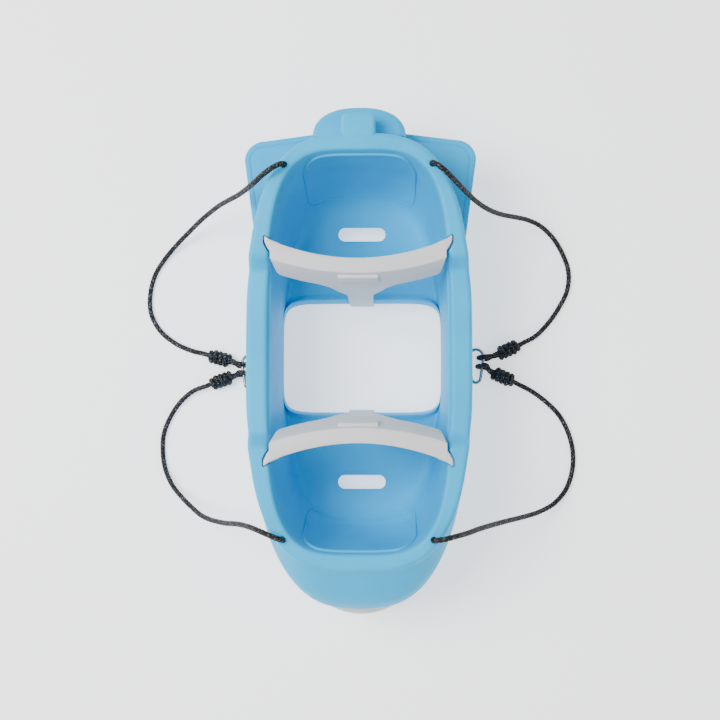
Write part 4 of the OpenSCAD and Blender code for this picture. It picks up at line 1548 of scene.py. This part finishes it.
    def barrel(self) -> bpy.types.Object:
        """The barrel knot: four turns wound side by side around the doubled rope.

        The turns are a helix of radius R - r about the knot's axis, R being the knot's radius
        and r the wound rope's. Both of its ends dive into the core.
        """
        s = self.size
        reach = np.linalg.norm(self.b - self.a)
        turns = s.wraps + 0.35
        t = np.linspace(0, 1, 460)
        a = 2 * np.pi * turns * t - 0.6
        dive = np.clip(np.minimum(t, 1 - t) * turns * 3.2, 0, 1)
        radius = (s.barrel - s.wound) / 2 * (0.45 + 0.55 * smooth(dive, 0, 1))
        run = 1.5 + (reach - 3) * np.clip((t - 0.03) / 0.94, 0, 1)
        side = np.cross([0, 0, 1.0], self.along)
        curve = (self.a + self.along * run[:, None] + side * (radius * np.cos(a))[:, None]
                 + np.array([0, 0, 1.0]) * (radius * np.sin(a))[:, None])
        curve = resample(curve, 1.0)
        wraps = Braid(RopeSize(diameter=s.wound), 24).grid(curve, self.along)
        core = tube(np.linspace(self.a, self.b, 12), np.full(12, s.core / 2), 16, (0, 0, 1))
        return self.roped("barrel", [wraps, core], "barrel_knot")

    def eye(self) -> bpy.types.Object:
        """The doubled rope that goes out of the knot, around the hook's wire and back."""
        s, mx = self.size, self.side.value
        y = self.wire_y[self.key]
        n = np.array([-self.along[1], self.along[0], 0]) * mx * 1.5
        up = np.array([0, 0, s.spread])
        w = self.hook.spine_x(self.side, y)
        top = self.hook.spine_z + self.hook.wire / 2 + s.diameter / 2 + 0.4
        b, d = self.b, self.along
        route = [b - d * 3 + n + up, b + d * 6 + n + up, (w + mx * 7, y + 2, top + 0.4),
                 (w - mx, y + 1, top), (w - mx * 6.5, y + 0.5, top - 3), (w - mx * 9, y, top - 7.5),
                 (w - mx * 6.5, y - 0.5, 7.2), (w - mx, y - 1, s.diameter / 2),
                 (w + mx * 7, y - 2, s.diameter / 2), b + d * 6 - n - up, b - d * 3 - n - up]
        grid = Braid(s, 24).grid(spline(route, 1.0), (0, 1, 0))
        return self.roped("eye", [grid], "rope_eye")


# --- snap hooks -----------------------------------------------------------------------------------


@dataclass
class HookSize:
    """Sizes and place of a snap hook, in millimetres."""

    length: float = 70
    width: float = 36
    wire: float = 6
    pin: float = 2
    narrow_r: float = 9
    centre_x: float = 219
    end_right: float = 20
    end_left: float = 9
    rope: float = 9
    rope_room: float = 1.5
    tongue: float = 1.6
    gate_w: float = 5
    gate_a: float = 0.08
    gate_b: float = 0.72
    hinge_past: float = 3

    @property
    def wide_r(self) -> float:
        """Radius of the wide end's centreline."""
        return (self.width - self.wire) / 2

    @property
    def spine_z(self) -> float:
        """Height of the spine's centreline above the ground."""
        return self.rope + self.rope_room + self.wire / 2

    @property
    def tilt(self) -> float:
        """How far the hook leans up from the ground towards its spine, in radians."""
        return math.asin((self.spine_z - self.wire / 2) / (2 * self.wide_r))

    @property
    def arc_gap(self) -> float:
        """Distance between the two round ends' centres."""
        return self.length - self.wire - self.wide_r - self.narrow_r

    @property
    def lean(self) -> float:
        """Angle between the straight sides and the hook's axis."""
        return math.asin((self.wide_r - self.narrow_r) / self.arc_gap)

    @property
    def side_l(self) -> float:
        """Length of a straight side."""
        return self.arc_gap * math.cos(self.lean)

    @property
    def hinge_l(self) -> float:
        """Distance of the gate's pin along its side."""
        return self.side_l * self.gate_b + self.hinge_past

    @property
    def nose_l(self) -> float:
        """Distance of the hook's nose along the gate side."""
        return self.side_l * self.gate_a

    def centre_y(self, side: Side) -> float:
        """Where the wide end's centre lies fore and aft."""
        end = self.end_right if side is Side.RIGHT else self.end_left
        return end - self.wire / 2 - self.wide_r

    def spine_x(self, side: Side, y: float) -> float:
        """Where the spine lies at the distance y from the middle."""
        v, r = self.centre_y(side) - y, self.wide_r
        low = v - r * math.sin(self.lean)
        if low > 0:
            reach = r * math.cos(self.lean) - low * math.tan(self.lean)
        else:
            reach = math.sqrt(r * r - v * v)
        return side.value * (self.centre_x + math.cos(self.tilt) * reach)

    def gate_side(self, along: Array | float) -> Array:
        """Points on the gate side's centreline at distances from the wide end."""
        l = np.atleast_1d(np.asarray(along, float))
        x = -self.wide_r * math.cos(self.lean) + l * math.sin(self.lean)
        y = -self.wide_r * math.sin(self.lean) - l * math.cos(self.lean)
        return np.stack([x, y, 0 * l], 1)


class SnapHook(Assembly):
    """A bent-wire snap hook, its gate and the gate's pin."""

    def __init__(self, finishes: Finishes, size: HookSize, side: Side) -> None:
        """Args: finishes: The materials. size: The hook's sizes. side: Which hook it is."""
        super().__init__(finishes)
        self.size, self.side = size, side

    def place(self, points: Array) -> Array:
        """Own frame to the ground: leaned about y by the tilt, then moved to its place."""
        s, mx = self.size, self.side.value
        x, y, z = points[..., 0] * mx, points[..., 1], points[..., 2]
        c, q = math.cos(s.tilt), -mx * math.sin(s.tilt)
        return np.stack([mx * s.centre_x + x * c + z * q, s.centre_y(self.side) + y,
                         s.wire / 2 + s.wide_r * math.sin(s.tilt) - x * q + z * c], -1)

    def build(self) -> None:
        """Builds the bent wire, the gate and its pin."""
        name, steel = self.side.label, self.finishes.steel
        self.piece(f"hook_wire_{name}", [self.wire()], steel, f"snap_hook_{name}", sharp=60)
        self.piece(f"hook_gate_{name}", self.gate(), steel, f"gate_{name}", body=f"gate_{name}",
                   sharp=50)
        self.piece(f"hook_pin_{name}", [self.pin()], steel, f"gate_pin_{name}", sharp=50)

    def wire(self) -> Grid:
        """The wire: a wide arc, the spine, a narrow arc, and short ends on the gate side.

        Its hinge end is pressed into a flat tongue, and its nose is rounded.
        """
        s = self.size
        a = np.linspace(math.pi + s.lean, -s.lean, 60)
        wide = s.wide_r * np.stack([np.cos(a), np.sin(a), 0 * a], 1)
        b = np.linspace(-s.lean, -math.pi + s.lean, 40)
        narrow = s.narrow_r * np.stack([np.cos(b), np.sin(b), 0 * b], 1) - [0, s.arc_gap, 0]
        nose = s.gate_side(np.linspace(s.nose_l, 0.3, 6))
        foot = s.gate_side(np.linspace(s.side_l - 0.3, s.hinge_l - 2.6, 14))
        curve = np.vstack([nose, wide, narrow, foot])
        grid = tube(curve, np.full(len(curve), s.wire / 2), 24, (0, 0, 1))
        local = grid.points
        hinge = s.gate_side(s.hinge_l)[0]
        reach = np.linalg.norm(curve - hinge, axis=1)
        flat = 1 - smooth(reach, 3.8, 4.6)
        flat[: len(curve) // 2] = 0
        thin = 1 - flat * (1 - s.tongue / s.wire)
        local[..., 2] = local[..., 2] * thin[:, None]
        grid.points = self.place(local)
        return grid

    def gate(self) -> list[Grid]:
        """The gate: a rod with a rounded nose, and a fork of two round plates at the pin."""
        s = self.size
        hinge, nose = s.gate_side(s.hinge_l)[0], s.gate_side(s.nose_l + 0.5)[0]
        way = (nose - hinge) / np.linalg.norm(nose - hinge)
        reach = np.linalg.norm(nose - hinge)
        t = np.concatenate([[2.6, 2.8, 3.2], np.linspace(4, reach - 1.2, 20),
                            reach - 1.2 + 1.2 * np.sin(np.linspace(0.2, np.pi / 2, 6))])
        r = np.full(len(t), (s.gate_w - 0.6) / 2)
        r[:3] = [1.2, 1.7, 2.05]
        r[-6:] *= np.cos(np.linspace(0.2, np.pi / 2, 6)) * 0.35 + 0.65
        rod = tube(hinge + way * t[:, None], r, 20, (0, 0, 1))
        rod.points = self.place(rod.points)
        plates = []
        across = np.array([-way[1], way[0]])
        half = s.gate_w / 2
        loop = np.vstack([arc(0, 0, half, half, np.arange(90, 271, 15)), [[4.2, -2]], [[4.2, 2]]])
        flat = hinge[:2] + loop[:, :1] * way[:2] + loop[:, 1:] * across
        rings = prism(flat, 1.05, half, 0.25)
        for sign in (-1, 1):
            plates.append(Grid(self.place(rings * [1, 1, sign])))
        return [rod, *plates]

    def pin(self) -> Grid:
        """The riveted pin, with a domed head at each end."""
        s = self.size
        hinge = s.gate_side(s.hinge_l)[0]
        end = s.gate_w / 2 + 0.2
        head = [(0, -0.5), (0.9, -0.35), (1.4, 0.05), (1.4, 0.2), (s.pin / 2, 0.25)]
        profile = [(x, z - end) for x, z in head] + [(x, end - z) for x, z in head[::-1]]
        return lathe(profile, 24, lambda q: self.place(q + hinge))


# --- studio ---------------------------------------------------------------------------------------


@dataclass
class CameraPlace:
    """Where the camera stands and how it looks, in millimetres."""

    position: tuple[float, float, float] = (62.9, MIDDLE_Y - 117, 2170.0)
    look: tuple[float, float, float] = (-0.0313, 0.0528, -1.0)
    lens: float = 55.9

    def build(self) -> bpy.types.Object:
        """Makes the scene's camera; the picture's up is nearest to +Y."""
        camera = bpy.data.objects.new("camera", bpy.data.cameras.new("camera"))
        camera.data.lens, camera.data.sensor_width = self.lens, 36
        camera.data.clip_start, camera.data.clip_end = 0.05, 30
        back = -Vector(self.look).normalized()
        right = Vector((0, 1, 0)).cross(back).normalized()
        turn = Matrix((right, back.cross(right), back)).transposed()
        camera.matrix_world = Matrix.Translation(Vector(self.position) * MM) @ turn.to_4x4()
        bpy.context.scene.collection.objects.link(camera)
        bpy.context.scene.camera = camera
        LOG.info("camera made")
        return camera


class Studio:
    """A pale floor, a soft key light from the left, two weak ones and an even surrounding."""

    def build(self) -> None:
        """Makes the floor, the lights and the world."""
        self.floor()
        self.light("key", (-1.5, 0.35, 2.7), size=1.7, power=130)
        self.light("fill", (1.7, -0.6, 2.5), size=2.6, power=14)
        self.light("bow", (0.1, -2.4, 2.0), size=1.8, power=10)
        world = bpy.data.worlds.new("surround")
        world.use_nodes = True
        shade = world.node_tree.nodes["Background"]
        shade.inputs["Color"].default_value = linear("f4f7fa")
        shade.inputs["Strength"].default_value = 0.75
        bpy.context.scene.world = world

    def floor(self) -> bpy.types.Object:
        """A wide pale floor just below the object, lit from inside like a light table."""
        mesh = bpy.data.meshes.new("floor")
        half, level = 12.0, -0.0003
        corners = [(x * half, y * half, level) for x, y in ((-1, -1), (1, -1), (1, 1), (-1, 1))]
        mesh.from_pydata(corners, [], [(0, 1, 2, 3)])
        floor = bpy.data.objects.new("floor", mesh)
        bpy.context.scene.collection.objects.link(floor)
        s = Shader("matt_white_paper")
        mesh.materials.append(s.finish(Base_Color=linear("f6f6f6"), Roughness=0.9,
                                       Emission_Color=linear("ffffff"), Emission_Strength=1.0))
        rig.stage(floor)
        return floor

    def light(self, name: str, place: tuple[float, float, float], size: float, power: float) -> None:
        """A square area light aimed at the middle of the hull."""
        data = bpy.data.lights.new(name, "AREA")
        data.size, data.energy = size, power
        lamp = bpy.data.objects.new(name, data)
        lamp.location = place
        aim = Vector((0, 0, 0.1)) - Vector(place)
        lamp.rotation_euler = aim.to_track_quat("-Z", "Y").to_euler()
        bpy.context.scene.collection.objects.link(lamp)
        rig.stage(lamp)


def plain_nodes(finishes: Finishes) -> None:
    """Gives each CAD node that still shows the finish of its material slot."""
    shared = (finishes.hull, finishes.bar, finishes.rope, finishes.steel)
    slots = {finish.slot: finish.material for finish in shared}
    named = {part["node"]: part["material_slot"] for part in frame["record"]["subparts"]}
    for name, obj in frame["nodes"].items():
        if not obj.hide_render and name in named:
            obj.data.materials.clear()
            obj.data.materials.append(slots[named[name]])
            LOG.info("%s keeps its CAD shape", name)


def main() -> None:
    """Builds the camera, the cords, the rest of the swing and the studio."""
    CameraPlace().build()
    finishes = Finishes()
    hull, rope, hook = HullSize(), RopeSize(), HookSize()
    for end in End:
        for side in Side:
            SuspensionRope(finishes, rope, hook, end, side).build()
    for side in Side:
        SnapHook(finishes, hook, side).build()
    Hull(finishes, hull).build()
    NoseCap(finishes, hull, NoseSize()).build()
    for end in End:
        SafetyBar(finishes, BarSize(), end).build()
    plain_nodes(finishes)
    Studio().build()


if __name__ == "__main__":
    main()
    boxes = {"cad": [[list(map(float, p)) for p in CAD_BOX]],
             "seen": [[list(map(float, p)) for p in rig.bounds()]]}
    json.dump(boxes, open("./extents.json", "w"))
